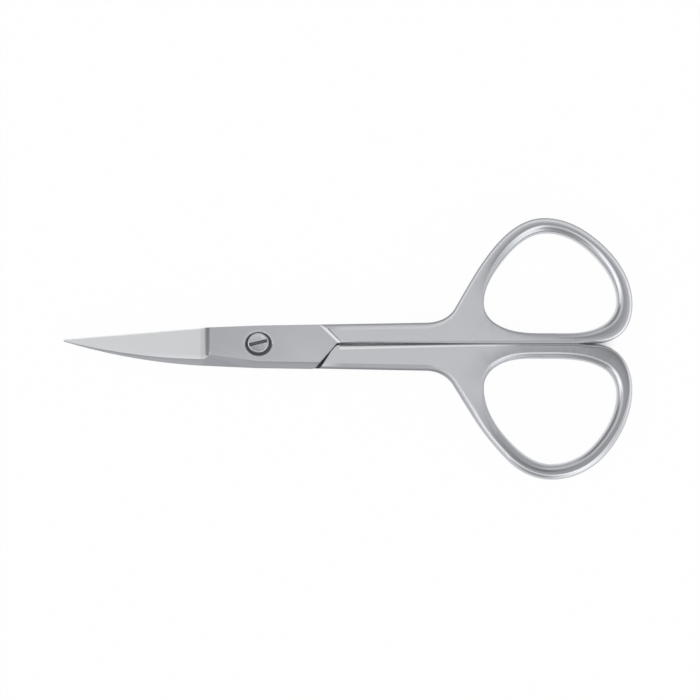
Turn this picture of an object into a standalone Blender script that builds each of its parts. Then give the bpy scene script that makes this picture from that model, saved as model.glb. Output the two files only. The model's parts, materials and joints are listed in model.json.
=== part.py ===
"""Nail scissors: two crossed halves of stainless steel that turn on one slotted screw.

Lengths are in metres, seen from above with the tip at -X and the finger loops at +X.
The origin is under the middle of the closed scissors, on the surface that they lie on.

Each half is drawn in its own half frame: the pivot is the origin, the half's own loop
lies on the +Y side, its outer face looks up, and the plane where the halves meet is z = 0.
The front half stands in the model as drawn. The rear half is turned over about X.
"""

import math
from collections import namedtuple

import bmesh
import bpy
from mathutils import Matrix, Vector, geometry

MM = 0.001

# Reach of the closed scissors from the pivot, and their thickness
BLADE_REACH = 30.9 * MM
HANDLE_REACH = 59.1 * MM
THICKNESS = 3.6 * MM

# Upper and lower edge of the closed body, as distances from the line of pivot and slit,
# and the neck between the straight shank's end and the finger hole
UPPER_EDGE_AT_ROOT = 2.6 * MM
UPPER_EDGE_AT_PIVOT = 2.9 * MM
UPPER_EDGE_AT_SHANK = 3.35 * MM
LOWER_EDGE_AT_ROOT = 3.5 * MM
LOWER_EDGE_AT_PIVOT = 3.85 * MM
LOWER_EDGE_AT_SHANK = 4.25 * MM
NECK_LENGTH = 9.1 * MM

# Lap joint: each half's plate ends along a diagonal, at the shoulder of the other's shank.
# The diagonals cross the line of pivot and slit this far from the pivot.
RIDE_GAP = 0.2 * MM
FACE_RELIEF = 0.25 * MM
UPPER_DIAGONAL_REACH = 12.7 * MM
UPPER_DIAGONAL_RUN = 3.15 * MM
LOWER_DIAGONAL_REACH = 12.3 * MM
LOWER_DIAGONAL_RUN = 3.5 * MM
SHOULDER_GAP = 0.25 * MM
SHOULDER_CHAMFER = 0.12 * MM
STEP_CHAMFER = 0.43 * MM
SLIT_WIDTH = 0.3 * MM

# Blades: thickness at the back and the cutting edge of the root, and at the tip
ROOT_REACH = 8.0 * MM
TIP_HEIGHT = 0.52 * MM
TIP_RADIUS = 0.2 * MM
REAR_BLADE_INSET = 0.12 * MM
BLADE_BACK_THICKNESS = 1.35 * MM
BLADE_EDGE_THICKNESS = 0.75 * MM
BLADE_TIP_THICKNESS = 0.4 * MM
FRONT_BACK_BULGE = 7.0
ROOT_COVE_RADIUS = 1.0 * MM
ROOT_COVE_REACH = 7.45 * MM
BACK_BEVEL_WIDTH = 1.1 * MM
BACK_BEVEL_DEPTH = 0.3 * MM
TIP_BEVEL_WIDTH = 0.12 * MM
CUTTING_BEVEL_WIDTH = 0.22 * MM
CUTTING_LAND = 0.1 * MM

# Finger loops: the metal band, and the holes with their distance from the slit line
LOOP_BAND = 2.45 * MM
HOLE_LENGTH = 21.05 * MM
UPPER_HOLE_START = 1.7 * MM
UPPER_HOLE_HEIGHT = 15.75 * MM
LOWER_HOLE_START = 2.4 * MM
LOWER_HOLE_HEIGHT = 16.65 * MM

# Rounding of the rims: how far it reaches in, and how much thickness it takes off
LOOP_ROUND_WIDTH = 1.2 * MM
LOOP_ROUND_DEPTH = 1.2 * MM
SHANK_ROUND_WIDTH = 1.0 * MM
SHANK_ROUND_DEPTH = 0.35 * MM
SLIT_ROUND_WIDTH = 0.35 * MM
SLIT_ROUND_DEPTH = 0.2 * MM

# Pivot screw
SCREW_HEAD_RADIUS = 1.7 * MM
SCREW_HEAD_HEIGHT = 0.75 * MM
SCREW_HEAD_CROWN = 0.12 * MM
SCREW_HEAD_CHAMFER = 0.12 * MM
SCREW_HEAD_SINK = 0.05 * MM
SCREW_SHANK_RADIUS = 1.2 * MM
SCREW_THREAD_RADIUS = 1.0 * MM
SCREW_SLOT_WIDTH = 0.5 * MM
SCREW_SLOT_DEPTH = 0.4 * MM
SCREW_SLOT_TURN = 14.0
HEAD_CLEARANCE = 0.32 * MM
SEAT_GAP = 0.1 * MM
TURNING_CLEARANCE = 0.08 * MM
THREAD_CLEARANCE = 0.06 * MM
THREAD_END_SINK = 0.05 * MM

# Cutters reach this far past what they cut, and corners this close are one corner
OVERRUN = 1.0 * MM
WELD_REACH = 0.002 * MM

# A rim's rounding takes at most this share of the metal behind it
RIM_SHARE = 0.46
# A curve's handle on a straight stretch, as a share of the stretch
STRAIGHT_HANDLE_SHARE = 1 / 3

# Finish of the steel: linear colour, and roughness
HALF_COLOUR = (0.50, 0.51, 0.53)
HALF_ROUGHNESS = 0.32
SCREW_COLOUR = (0.56, 0.57, 0.58)
SCREW_ROUGHNESS = 0.22
# Faces that meet at more than this are shaded with an edge between them
SHARP_ANGLE = 30.0

# Steps of the curves
LOOP_STEPS = 7
BODY_STEPS = 4
ROUND_ROWS = 4
COVE_STEPS = 6
COVE_SECTIONS = 5
BEVEL_STEPS = 6
SCREW_SIDES = 48

# Triangulation that keeps to the inside of the borders
INSIDE = 1

HALF_THICKNESS = THICKNESS / 2
INNER_FACE = RIDE_GAP / 2
PLATE_FACE = HALF_THICKNESS - FACE_RELIEF
SLIT_SIDE = SLIT_WIDTH / 2
HOLE_LEFT = HANDLE_REACH - LOOP_BAND - HOLE_LENGTH
SHANK_LENGTH = HOLE_LEFT - NECK_LENGTH
RECESS_FLOOR = PLATE_FACE - SCREW_HEAD_SINK - SCREW_HEAD_HEIGHT - SEAT_GAP

Rim = namedtuple("Rim", "width depth")
Anchor = namedtuple("Anchor", "place heading rim")
Sample = namedtuple("Sample", "place rim")
Diagonal = namedtuple("Diagonal", "reach run")

SHARP = Rim(0.0, 0.0)
LOOP_RIM = Rim(LOOP_ROUND_WIDTH, LOOP_ROUND_DEPTH)
SHANK_RIM = Rim(SHANK_ROUND_WIDTH, SHANK_ROUND_DEPTH)
SLIT_RIM = Rim(SLIT_ROUND_WIDTH, SLIT_ROUND_DEPTH)

# Anchors of the finger holes, counterclockwise: shares of the hole's length and height,
# the curve's heading in degrees, and the share of the loop's rounding that the rim has
UPPER_HOLE_SHARES = (
    (0.00, 0.30, 270, 0.25),
    (0.08, 0.105, 325, 0.3),
    (0.51, 0.00, 360, 0.6),
    (0.90, 0.083, 392, 0.9),
    (1.00, 0.31, 450, 1.0),
    (0.82, 0.783, 495, 1.0),
    (0.47, 1.00, 540, 1.0),
    (0.136, 0.708, 592, 0.9),
)
LOWER_HOLE_SHARES = (
    (0.00, 0.27, 270, 0.3),
    (0.075, 0.09, 322, 0.8),
    (0.50, 0.00, 360, 1.0),
    (0.90, 0.093, 390, 1.0),
    (1.00, 0.33, 450, 1.0),
    (0.83, 0.816, 492, 1.0),
    (0.51, 1.00, 540, 1.0),
    (0.20, 0.787, 586, 0.9),
)
# Anchors of the loops' outer rims: shares of the hole's box grown by the band all round
UPPER_LOOP_SHARES = (
    (0.93, 0.109, 42, 0.8),
    (1.00, 0.341, 90, 1.0),
    (0.81, 0.806, 138, 1.0),
    (0.465, 1.00, 180, 1.0),
    (0.095, 0.671, 235, 1.0),
    (-0.08, 0.308, 239.5, 0.8),
)
LOWER_LOOP_SHARES = (
    (0.927, 0.084, 48, 0.8),
    (1.00, 0.336, 90, 1.0),
    (0.837, 0.82, 132, 1.0),
    (0.508, 1.00, 180, 1.0),
    (0.236, 0.855, 226, 1.0),
    (0.047, 0.573, 237, 1.0),
    (-0.089, 0.309, 238.5, 0.8),
)
# Where the slit rim starts to round off into the loop, and where the slit ends
LOOP_SLIT_START_SHARE = 0.30
LOOP_SLIT_END_SHARE = 0.76
SLIT_END_RIM_SHARE = 0.5

# A half: heights of its cutting side and its back, its loop, and how its back bulges
Half = namedtuple(
    "Half",
    "name cut_heights back_heights cut_diagonal back_diagonal inset tip_side back_bulge "
    "hole_start hole_height hole_shares loop_shares",
)
UPPER_HEIGHTS = (UPPER_EDGE_AT_ROOT, UPPER_EDGE_AT_PIVOT, UPPER_EDGE_AT_SHANK)
LOWER_HEIGHTS = (LOWER_EDGE_AT_ROOT, LOWER_EDGE_AT_PIVOT, LOWER_EDGE_AT_SHANK)
UPPER_DIAGONAL = Diagonal(UPPER_DIAGONAL_REACH, UPPER_DIAGONAL_RUN)
LOWER_DIAGONAL = Diagonal(LOWER_DIAGONAL_REACH, LOWER_DIAGONAL_RUN)
FRONT = Half(
    "front_half", UPPER_HEIGHTS, LOWER_HEIGHTS, UPPER_DIAGONAL, LOWER_DIAGONAL,
    0.0, 1, FRONT_BACK_BULGE, UPPER_HOLE_START, UPPER_HOLE_HEIGHT,
    UPPER_HOLE_SHARES, UPPER_LOOP_SHARES,
)
REAR = Half(
    "rear_half", LOWER_HEIGHTS, UPPER_HEIGHTS, LOWER_DIAGONAL, UPPER_DIAGONAL,
    REAR_BLADE_INSET, -1, 0.0, LOWER_HOLE_START, LOWER_HOLE_HEIGHT,
    LOWER_HOLE_SHARES, LOWER_LOOP_SHARES,
)

PIVOT = Vector((
    (BLADE_REACH - HANDLE_REACH) / 2,
    (LOWER_HOLE_START + LOWER_HOLE_HEIGHT - UPPER_HOLE_START - UPPER_HOLE_HEIGHT) / 2,
    HALF_THICKNESS,
))


def share_rim(share):
    """Rounding that is this share of the loop's."""
    return Rim(LOOP_RIM.width * share, LOOP_RIM.depth * share)


def mix(start, end, share):
    """Value that lies this share of the way from start to end."""
    return start + (end - start) * share


def edge_height(heights, reach):
    """Distance of a body edge from the slit line, at a distance along it from the pivot."""
    root, pivot, shank = heights
    if reach < 0:
        return mix(pivot, root, -reach / ROOT_REACH)
    return mix(pivot, shank, reach / SHANK_LENGTH)


def handle_length(start, end):
    """Length of a curve's handles, which turns an even bend into a round arc."""
    chord = (end.place - start.place).length
    turn = math.radians(end.heading - start.heading)
    if abs(turn) < math.radians(1):
        return chord * STRAIGHT_HANDLE_SHARE
    return chord * 4 / 3 * math.tan(turn / 4) / (2 * math.sin(turn / 2))


def heading_vector(degrees):
    """Unit vector with this heading."""
    return Vector((math.cos(math.radians(degrees)), math.sin(math.radians(degrees))))


def curve_samples(anchors, steps):
    """Samples of the smooth curve through the anchors, without its last point."""
    samples = []
    for start, end in zip(anchors, anchors[1:]):
        reach = handle_length(start, end)
        points = geometry.interpolate_bezier(
            start.place, start.place + heading_vector(start.heading) * reach,
            end.place - heading_vector(end.heading) * reach, end.place, steps + 1,
        )
        for index, point in enumerate(points[:-1]):
            share = index / steps
            rim = Rim(
                mix(start.rim.width, end.rim.width, share),
                mix(start.rim.depth, end.rim.depth, share),
            )
            samples.append(Sample(Vector(point), rim))
    return samples


def line_samples(start, end, start_rim=SHARP, end_rim=SHARP):
    """Samples of a straight stretch, without its last point."""
    heading = math.degrees(math.atan2(end.y - start.y, end.x - start.x))
    anchors = [Anchor(start, heading, start_rim), Anchor(end, heading, end_rim)]
    return curve_samples(anchors, 1 if start_rim == end_rim else BODY_STEPS)


def hole_outline(half):
    """Closed outline of the half's finger hole."""
    anchors = [
        Anchor(
            Vector((
                HOLE_LEFT + HOLE_LENGTH * across,
                half.hole_start + half.hole_height * up,
            )),
            heading, share_rim(rim),
        )
        for across, up, heading, rim in half.hole_shares
    ]
    first = anchors[0]
    anchors.append(Anchor(first.place, first.heading + 360, first.rim))
    return curve_samples(anchors, LOOP_STEPS)


def loop_place(half, across, up):
    """Place in the hole's box grown by the loop's band."""
    return Vector((
        HOLE_LEFT - LOOP_BAND + (HOLE_LENGTH + 2 * LOOP_BAND) * across,
        half.hole_start - LOOP_BAND + (half.hole_height + 2 * LOOP_BAND) * up,
    ))


def blade_corners(half):
    """Root corners of the blade at its cutting side and its back, and the tip's middle."""
    cut_root = Vector((-ROOT_REACH, half.cut_heights[0] - half.inset))
    back_root = Vector((-ROOT_REACH, half.inset - half.back_heights[0]))
    tip = Vector((half.inset + TIP_RADIUS - BLADE_REACH, TIP_HEIGHT * half.tip_side))
    return cut_root, back_root, tip


def plate_back_end(half):
    """Corner where the plate's back meets the diagonal that ends the plate."""
    reach = half.back_diagonal.reach - half.back_diagonal.run
    return Vector((reach, half.inset - edge_height(half.back_heights, reach)))


def blade_outline(half):
    """Outline from the plate's cutting side round the tip to the plate's back."""
    cut_root, back_root, tip = blade_corners(half)
    up = Vector((0.0, TIP_RADIUS))
    top = tip + up
    bottom = tip - up
    samples = line_samples(cut_root, top)
    front = Vector((tip.x - TIP_RADIUS, tip.y))
    cap = [Anchor(top, 180, SHARP), Anchor(front, 270, SHARP), Anchor(bottom, 360, SHARP)]
    samples += curve_samples(cap, BODY_STEPS)
    chord = back_root - bottom
    heading = math.degrees(math.atan2(chord.y, chord.x))
    back = [
        Anchor(bottom, heading - half.back_bulge, SHARP),
        Anchor(back_root, heading + half.back_bulge, SHARP),
    ]
    samples += curve_samples(back, LOOP_STEPS)
    return samples


def half_outline(half):
    """Closed outline of the whole half, counterclockwise from the blade's root."""
    cut_root, back_root, tip = blade_corners(half)
    back_end = plate_back_end(half)
    back_mid = Vector((0.0, half.inset - half.back_heights[1]))
    slope = half.back_diagonal.run / -back_end.y
    apex = Vector((half.back_diagonal.reach + SLIT_SIDE * slope, SLIT_SIDE))
    samples = blade_outline(half)
    samples += line_samples(back_root, back_mid)
    samples += line_samples(back_mid, back_end)
    samples += line_samples(back_end, apex)
    loop = [Anchor(loop_place(half, x, y), heading, share_rim(rim))
            for x, y, heading, rim in half.loop_shares]
    slit_start = Vector((loop_place(half, LOOP_SLIT_START_SHARE, 0).x, SLIT_SIDE))
    slit_end = Vector((loop_place(half, LOOP_SLIT_END_SHARE, 0).x, SLIT_SIDE))
    slit_end_anchor = Anchor(slit_end, 0, share_rim(SLIT_END_RIM_SHARE))
    samples += line_samples(apex, slit_start, SLIT_RIM, SLIT_RIM)
    samples += line_samples(slit_start, slit_end, SLIT_RIM, slit_end_anchor.rim)
    shank_end = Vector((SHANK_LENGTH, half.cut_heights[2]))
    shank_mid = Vector((0.0, half.cut_heights[1] - half.inset))
    slope = math.degrees(math.atan2(shank_end.y - shank_mid.y, shank_end.x))
    samples += curve_samples(
        [slit_end_anchor] + loop + [Anchor(shank_end, 180 + slope, SHANK_RIM)], LOOP_STEPS,
    )
    samples += line_samples(shank_end, shank_mid, SHANK_RIM, SHANK_RIM)
    samples += line_samples(shank_mid, cut_root, SHANK_RIM, SHARP)
    return samples


def inward_normals(samples, side):
    """Unit normals of a closed outline that point into the metal."""
    normals = []
    for index in range(len(samples)):
        ahead = samples[(index + 1) % len(samples)].place
        behind = samples[index - 1].place
        along = (ahead - behind).normalized()
        normals.append(Vector((-along.y, along.x)) * side)
    return normals


def metal_behind(place, normal, loops):
    """Distance from a rim, through the metal, to the next rim of the plan."""
    far = place + normal * HANDLE_REACH
    nearest = HANDLE_REACH
    for samples in loops:
        for index in range(len(samples)):
            start = samples[index - 1].place
            end = samples[index].place
            if (start - place).length < RIDE_GAP or (end - place).length < RIDE_GAP:
                continue
            hit = geometry.intersect_line_line_2d(place, far, start, end)
            if hit is not None:
                nearest = min(nearest, (hit - place).length)
    return nearest


def rim_rows(bm, samples, side, loops):
    """Rows of vertices that round one rim off, from its edge to the flat face."""
    rows = []
    for sample, normal in zip(samples, inward_normals(samples, side)):
        if sample.rim.width == 0:
            corner = bm.verts.new((*sample.place, HALF_THICKNESS))
            rows.append([corner] * (ROUND_ROWS + 1))
            continue
        limit = RIM_SHARE * metal_behind(sample.place, normal, loops)
        share = min(1.0, limit / sample.rim.width)
        column = []
        for row in range(ROUND_ROWS + 1):
            angle = math.pi / 2 * row / ROUND_ROWS
            reach = sample.rim.width * share * (1 - math.cos(angle))
            drop = sample.rim.depth * share * (1 - math.sin(angle))
            place = sample.place + normal * reach
            column.append(bm.verts.new((*place, HALF_THICKNESS - drop)))
        rows.append(column)
    return rows


def skin(bm, corners):
    """Face through the corners, with repeated neighbours left out."""
    loop = [corner for index, corner in enumerate(corners) if corner is not corners[index - 1]]
    if len(loop) > 2:
        bm.faces.new(loop)


def add_lid(bm, columns):
    """Triangles of the flat face between the rims, whose columns of vertices end on it."""
    flat = []
    borders = []
    for rows in columns:
        borders.append(list(range(len(flat), len(flat) + len(rows))))
        flat += [column[-1] for column in rows]
    places = [corner.co.xy for corner in flat]
    filled = geometry.delaunay_2d_cdt(places, [], borders, INSIDE, WELD_REACH)
    _, _, triangles, corners, _, around = filled
    for triangle, borders_around in zip(triangles, around):
        if len(borders_around) == 1:
            bm.faces.new([flat[corners[index][0]] for index in triangle])


def blank_mesh(half):
    """Forged blank of the half: its plan at full thickness, with its rims rounded off."""
    bm = bmesh.new()
    outer = half_outline(half)
    hole = hole_outline(half)
    loops = (outer, hole)
    columns = [rim_rows(bm, outer, 1, loops), rim_rows(bm, hole, -1, loops)]
    for rows in columns:
        for index in range(len(rows)):
            here = rows[index - 1]
            there = rows[index]
            for low, high in zip(range(ROUND_ROWS), range(1, ROUND_ROWS + 1)):
                skin(bm, [here[low], there[low], there[high], here[high]])
    add_lid(bm, columns)
    upper = list(bm.faces)
    lower = bmesh.ops.duplicate(bm, geom=list(bm.verts) + list(bm.edges) + upper)
    twins = lower["vert_map"]
    for vert in [column for rows in columns for samples in rows for column in set(samples)]:
        twins[vert].co.z = -vert.co.z
    for rows in columns:
        for index in range(len(rows)):
            here = rows[index - 1][0]
            there = rows[index][0]
            skin(bm, [here, there, twins[there], twins[here]])
    bmesh.ops.recalc_face_normals(bm, faces=list(bm.faces))
    return bm


def loft(sections):
    """Closed block through a row of closed sections."""
    bm = bmesh.new()
    rings = [[bm.verts.new(point) for point in section] for section in sections]
    for ring, following in zip(rings, rings[1:]):
        for index in range(len(ring)):
            bm.faces.new([ring[index - 1], ring[index], following[index], following[index - 1]])
    bm.faces.new(rings[0])
    bm.faces.new(rings[-1])
    bmesh.ops.recalc_face_normals(bm, faces=list(bm.faces))
    return bm


def shoulder_section(half, offset, level):
    """Plan of all that lies on the blade's side of the shank's diagonal."""
    diagonal = half.cut_diagonal
    height = edge_height(half.cut_heights, diagonal.reach - diagonal.run)
    slope = diagonal.run / height
    shift = offset * math.hypot(1, slope)
    width = max(LOWER_EDGE_AT_SHANK, UPPER_EDGE_AT_SHANK) + OVERRUN
    left = -BLADE_REACH - OVERRUN
    return [
        (diagonal.reach + shift - width * slope, width, level),
        (left, width, level),
        (left, -width, level),
        (diagonal.reach + shift + width * slope, -width, level),
    ]


def lap_cutter(half):
    """Space of the other half's plate and blade, with the chamfer of the shoulder."""
    spread = SHOULDER_CHAMFER * (1 + OVERRUN / FACE_RELIEF)
    return loft([
        shoulder_section(half, SHOULDER_GAP + spread, -HALF_THICKNESS - OVERRUN),
        shoulder_section(half, SHOULDER_GAP, FACE_RELIEF - HALF_THICKNESS),
        shoulder_section(half, SHOULDER_GAP, INNER_FACE),
    ])


def face_cutter(half):
    """Metal ground off the outer face of plate and blade, up to the diagonal step."""
    spread = STEP_CHAMFER * (1 + OVERRUN / FACE_RELIEF)
    return loft([
        shoulder_section(half, 0, PLATE_FACE),
        shoulder_section(half, spread, HALF_THICKNESS + OVERRUN),
    ])


def blade_level(half, place):
    """Height of the blade's ground face over a place of the plan."""
    cut_root, back_root, tip = blade_corners(half)
    across = (BLADE_BACK_THICKNESS - BLADE_EDGE_THICKNESS) / (cut_root.y - back_root.y)
    at_tip_height = BLADE_EDGE_THICKNESS + across * (cut_root.y - tip.y)
    along = (at_tip_height - BLADE_TIP_THICKNESS) / (cut_root.x - tip.x)
    thickness = BLADE_EDGE_THICKNESS + across * (cut_root.y - place.y)
    return INNER_FACE + thickness + along * (place.x - cut_root.x)


def blade_cutter(half):
    """Metal ground off the blade's outer face, with the cove left by the wheel at its root."""
    cut_root, back_root, tip = blade_corners(half)
    left = -BLADE_REACH - OVERRUN
    top = HALF_THICKNESS + OVERRUN
    sections = []
    for index in range(COVE_SECTIONS + 1):
        side = mix(back_root.y - OVERRUN, cut_root.y + OVERRUN, index / COVE_SECTIONS)
        root_level = blade_level(half, Vector((-ROOT_COVE_REACH, side)))
        rise = min(max(PLATE_FACE - root_level, 0), ROOT_COVE_RADIUS)
        run = math.sqrt(rise * (2 * ROOT_COVE_RADIUS - rise))
        start = Vector((-ROOT_COVE_REACH - run, side))
        start_level = blade_level(half, start)
        left_level = blade_level(half, Vector((left, side)))
        section = [(left, side, top), (left, side, left_level)]
        for step in range(COVE_STEPS + 1):
            angle = math.pi / 2 * step / COVE_STEPS
            section.append((
                start.x + ROOT_COVE_RADIUS * math.sin(angle), side,
                start_level + ROOT_COVE_RADIUS * (1 - math.cos(angle)),
            ))
        section.append((start.x + ROOT_COVE_RADIUS, side, top))
        sections.append(section)
    return loft(sections)


def bevel_cutter(path, normals, widths, levels, depths):
    """Sloping strip ground along an edge: its inner line lies on the face beside it."""
    top = HALF_THICKNESS + OVERRUN
    sections = []
    for place, normal, width, level, depth in zip(path, normals, widths, levels, depths):
        slope = depth / width
        outer = place - normal * OVERRUN
        inner = place + normal * (width + OVERRUN)
        sections.append([
            (*outer, level - depth - slope * OVERRUN),
            (*inner, level + slope * OVERRUN),
            (*inner, top + slope * OVERRUN),
            (*outer, top + slope * OVERRUN),
        ])
    return loft(sections)


def path_normals(path):
    """Normals to the left of an open path."""
    normals = []
    for index, place in enumerate(path):
        ahead = path[min(index + 1, len(path) - 1)]
        behind = path[max(index - 1, 0)]
        along = (ahead - behind).normalized()
        normals.append(Vector((-along.y, along.x)))
    return normals


def back_bevel_cutter(half):
    """Bevel along the back of blade and plate."""
    cut_root, back_root, tip = blade_corners(half)
    outline = blade_outline(half)
    path = [sample.place for sample in outline[-LOOP_STEPS:]]
    path += [back_root, Vector((0.0, half.inset - half.back_heights[1])), plate_back_end(half)]
    start = path[0] - (path[1] - path[0]).normalized() * OVERRUN
    end = path[-1] + (path[-1] - path[-2]).normalized() * OVERRUN
    path = [start] + path + [end]
    normals = path_normals(path)
    widths = []
    levels = []
    for place, normal in zip(path, normals):
        share = min(max((place.x - tip.x) / (back_root.x - tip.x), 0), 1)
        width = mix(TIP_BEVEL_WIDTH, BACK_BEVEL_WIDTH, share)
        widths.append(width)
        levels.append(min(PLATE_FACE, blade_level(half, place + normal * width)))
    depths = [BACK_BEVEL_DEPTH * width / BACK_BEVEL_WIDTH for width in widths]
    return bevel_cutter(path, normals, widths, levels, depths)


def cutting_bevel_cutter(half):
    """Steep bevel that forms the cutting edge, from the tip to the root."""
    cut_root, back_root, tip = blade_corners(half)
    top = tip + Vector((0.0, TIP_RADIUS))
    along = (top - cut_root).normalized()
    start = cut_root + along * (ROOT_COVE_REACH + ROOT_COVE_RADIUS - ROOT_REACH)
    end = top + along * OVERRUN
    path = [start.lerp(end, step / BEVEL_STEPS) for step in range(BEVEL_STEPS + 1)]
    normals = path_normals(path)
    levels = [blade_level(half, place) for place in path]
    depths = [level - INNER_FACE - CUTTING_LAND for level in levels]
    widths = [CUTTING_BEVEL_WIDTH] * len(path)
    return bevel_cutter(path, normals, widths, levels, depths)


def cylinder(radius, low, high):
    """Upright cylinder on the pivot axis."""
    bm = bmesh.new()
    bmesh.ops.create_cone(
        bm, cap_ends=True, segments=SCREW_SIDES, radius1=radius, radius2=radius,
        depth=high - low, matrix=Matrix.Translation((0, 0, (low + high) / 2)),
    )
    return bm


def steel(name, colour, roughness):
    """Stainless steel with its own colour and finish."""
    material = bpy.data.materials.new(name)
    material.use_nodes = True
    shader = material.node_tree.nodes["Principled BSDF"]
    shader.inputs["Base Color"].default_value = (*colour, 1)
    shader.inputs["Metallic"].default_value = 1
    shader.inputs["Roughness"].default_value = roughness
    return material


def add_object(name, bm, parent):
    """Object with this mesh, in the frame of its parent."""
    mesh = bpy.data.meshes.new(name)
    bm.to_mesh(mesh)
    bm.free()
    item = bpy.data.objects.new(name, mesh)
    item.parent = parent
    bpy.context.scene.collection.objects.link(item)
    return item


def cut(item, name, bm):
    """Boolean cut of the item with this mesh, whose object stays as a hidden cutter."""
    cutter = add_object(f"{item.name}_{name}_cutter", bm, item.parent)
    cutter.hide_render = True
    cutter.display_type = "WIRE"
    modifier = item.modifiers.new(name, "BOOLEAN")
    modifier.operation = "DIFFERENCE"
    modifier.solver = "EXACT"
    modifier.object = cutter


def finish(item, material):
    """Cut corners welded, and smooth shading up to the ground edges, in this material."""
    weld = item.modifiers.new("weld", "WELD")
    weld.merge_threshold = WELD_REACH
    item.data.materials.append(material)
    item.data.shade_smooth()
    item.data.set_sharp_from_angle(angle=math.radians(SHARP_ANGLE))


def add_frame(name, turn):
    """Empty on the pivot axis that carries one half."""
    frame = bpy.data.objects.new(name, None)
    frame.location = PIVOT
    frame.rotation_euler.x = turn
    bpy.context.scene.collection.objects.link(frame)
    return frame


def add_half(half, frame):
    """One half: its blank, with the lap, the faces, the bevels and the blade ground."""
    item = add_object(half.name, blank_mesh(half), frame)
    cut(item, "lap", lap_cutter(half))
    cut(item, "face", face_cutter(half))
    cut(item, "blade", blade_cutter(half))
    cut(item, "back_bevel", back_bevel_cutter(half))
    cut(item, "cutting_bevel", cutting_bevel_cutter(half))
    return item


def add_front_half(frame):
    """Front half, with the turning hole and the recess for the screw's head."""
    item = add_half(FRONT, frame)
    recess = cylinder(SCREW_HEAD_RADIUS + HEAD_CLEARANCE, RECESS_FLOOR, HALF_THICKNESS)
    cut(item, "recess", recess)
    turning_hole = cylinder(SCREW_SHANK_RADIUS + TURNING_CLEARANCE, -OVERRUN, HALF_THICKNESS)
    cut(item, "turning_hole", turning_hole)
    finish(item, steel("satin_steel_front", HALF_COLOUR, HALF_ROUGHNESS))


def add_rear_half(frame):
    """Rear half, with the hole that holds the screw's thread."""
    item = add_half(REAR, frame)
    thread_hole = cylinder(SCREW_THREAD_RADIUS + THREAD_CLEARANCE, -OVERRUN, HALF_THICKNESS)
    cut(item, "thread_hole", thread_hole)
    finish(item, steel("satin_steel_rear", HALF_COLOUR, HALF_ROUGHNESS))


def add_screw(frame):
    """Pivot screw: crowned head with a slot, turning shank and plain threaded end."""
    end = THREAD_END_SINK - PLATE_FACE
    shoulder = SEAT_GAP - INNER_FACE
    seat = RECESS_FLOOR + SEAT_GAP
    rim = seat + SCREW_HEAD_HEIGHT
    profile = [
        (0.0, end),
        (SCREW_THREAD_RADIUS, end),
        (SCREW_THREAD_RADIUS, shoulder),
        (SCREW_SHANK_RADIUS, shoulder),
        (SCREW_SHANK_RADIUS, seat),
        (SCREW_HEAD_RADIUS, seat),
        (SCREW_HEAD_RADIUS, rim - SCREW_HEAD_CHAMFER),
    ]
    crown_radius = SCREW_HEAD_RADIUS - SCREW_HEAD_CHAMFER
    for row in range(ROUND_ROWS + 1):
        share = 1 - row / ROUND_ROWS
        profile.append((crown_radius * share, rim + SCREW_HEAD_CROWN * (1 - share ** 2)))
    bm = bmesh.new()
    verts = [bm.verts.new((radius, 0, level)) for radius, level in profile]
    edges = [bm.edges.new(pair) for pair in zip(verts, verts[1:])]
    bmesh.ops.spin(
        bm, geom=verts + edges, axis=(0, 0, 1), cent=(0, 0, 0),
        steps=SCREW_SIDES, angle=2 * math.pi, use_merge=True,
    )
    bmesh.ops.remove_doubles(bm, verts=list(bm.verts), dist=TURNING_CLEARANCE / SCREW_SIDES)
    bmesh.ops.recalc_face_normals(bm, faces=list(bm.faces))
    item = add_object("pivot_screw", bm, frame)
    slot = bmesh.new()
    bmesh.ops.create_cube(slot, size=1)
    bottom = rim + SCREW_HEAD_CROWN - SCREW_SLOT_DEPTH
    size = Vector((2 * SCREW_HEAD_RADIUS + OVERRUN, SCREW_SLOT_WIDTH, 2 * SCREW_SLOT_DEPTH))
    turn = Matrix.Rotation(math.radians(SCREW_SLOT_TURN), 4, "Z")
    middle = Matrix.Translation((0, 0, bottom + size.z / 2))
    bmesh.ops.transform(slot, matrix=middle @ turn @ Matrix.Diagonal((*size, 1)), verts=slot.verts)
    cut(item, "slot", slot)
    finish(item, steel("turned_steel_screw", SCREW_COLOUR, SCREW_ROUGHNESS))


def build():
    """Both halves and the screw, closed, on the surface that they lie on."""
    for item in list(bpy.data.objects):
        bpy.data.objects.remove(item)
    add_front_half(add_frame("front_frame", 0.0))
    add_rear_half(add_frame("rear_frame", math.pi))
    add_screw(add_frame("screw_frame", 0.0))


build()
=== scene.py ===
"""Looks of a pair of nail scissors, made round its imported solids.

Lengths are in metres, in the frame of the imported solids: the tip at -X, the finger loops at
+X, and the scissors lying on the plane z = 0.

Each half is drawn in its own half frame, as its solid is: the pivot is the origin, the half's
own loop lies on +Y, its outer face looks up, and the halves meet at z = 0. The drawing of the
rear half is turned over about X to stand in the model.
"""

import json
import logging
import math
from collections.abc import Callable, Iterator, Sequence
from dataclasses import dataclass
from enum import Enum

import bmesh
import bpy
from bmesh.types import BMesh
from bpy.types import Material, Node, NodeSocket, NodeTree, Object
from mathutils import Matrix, Vector, geometry


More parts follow.
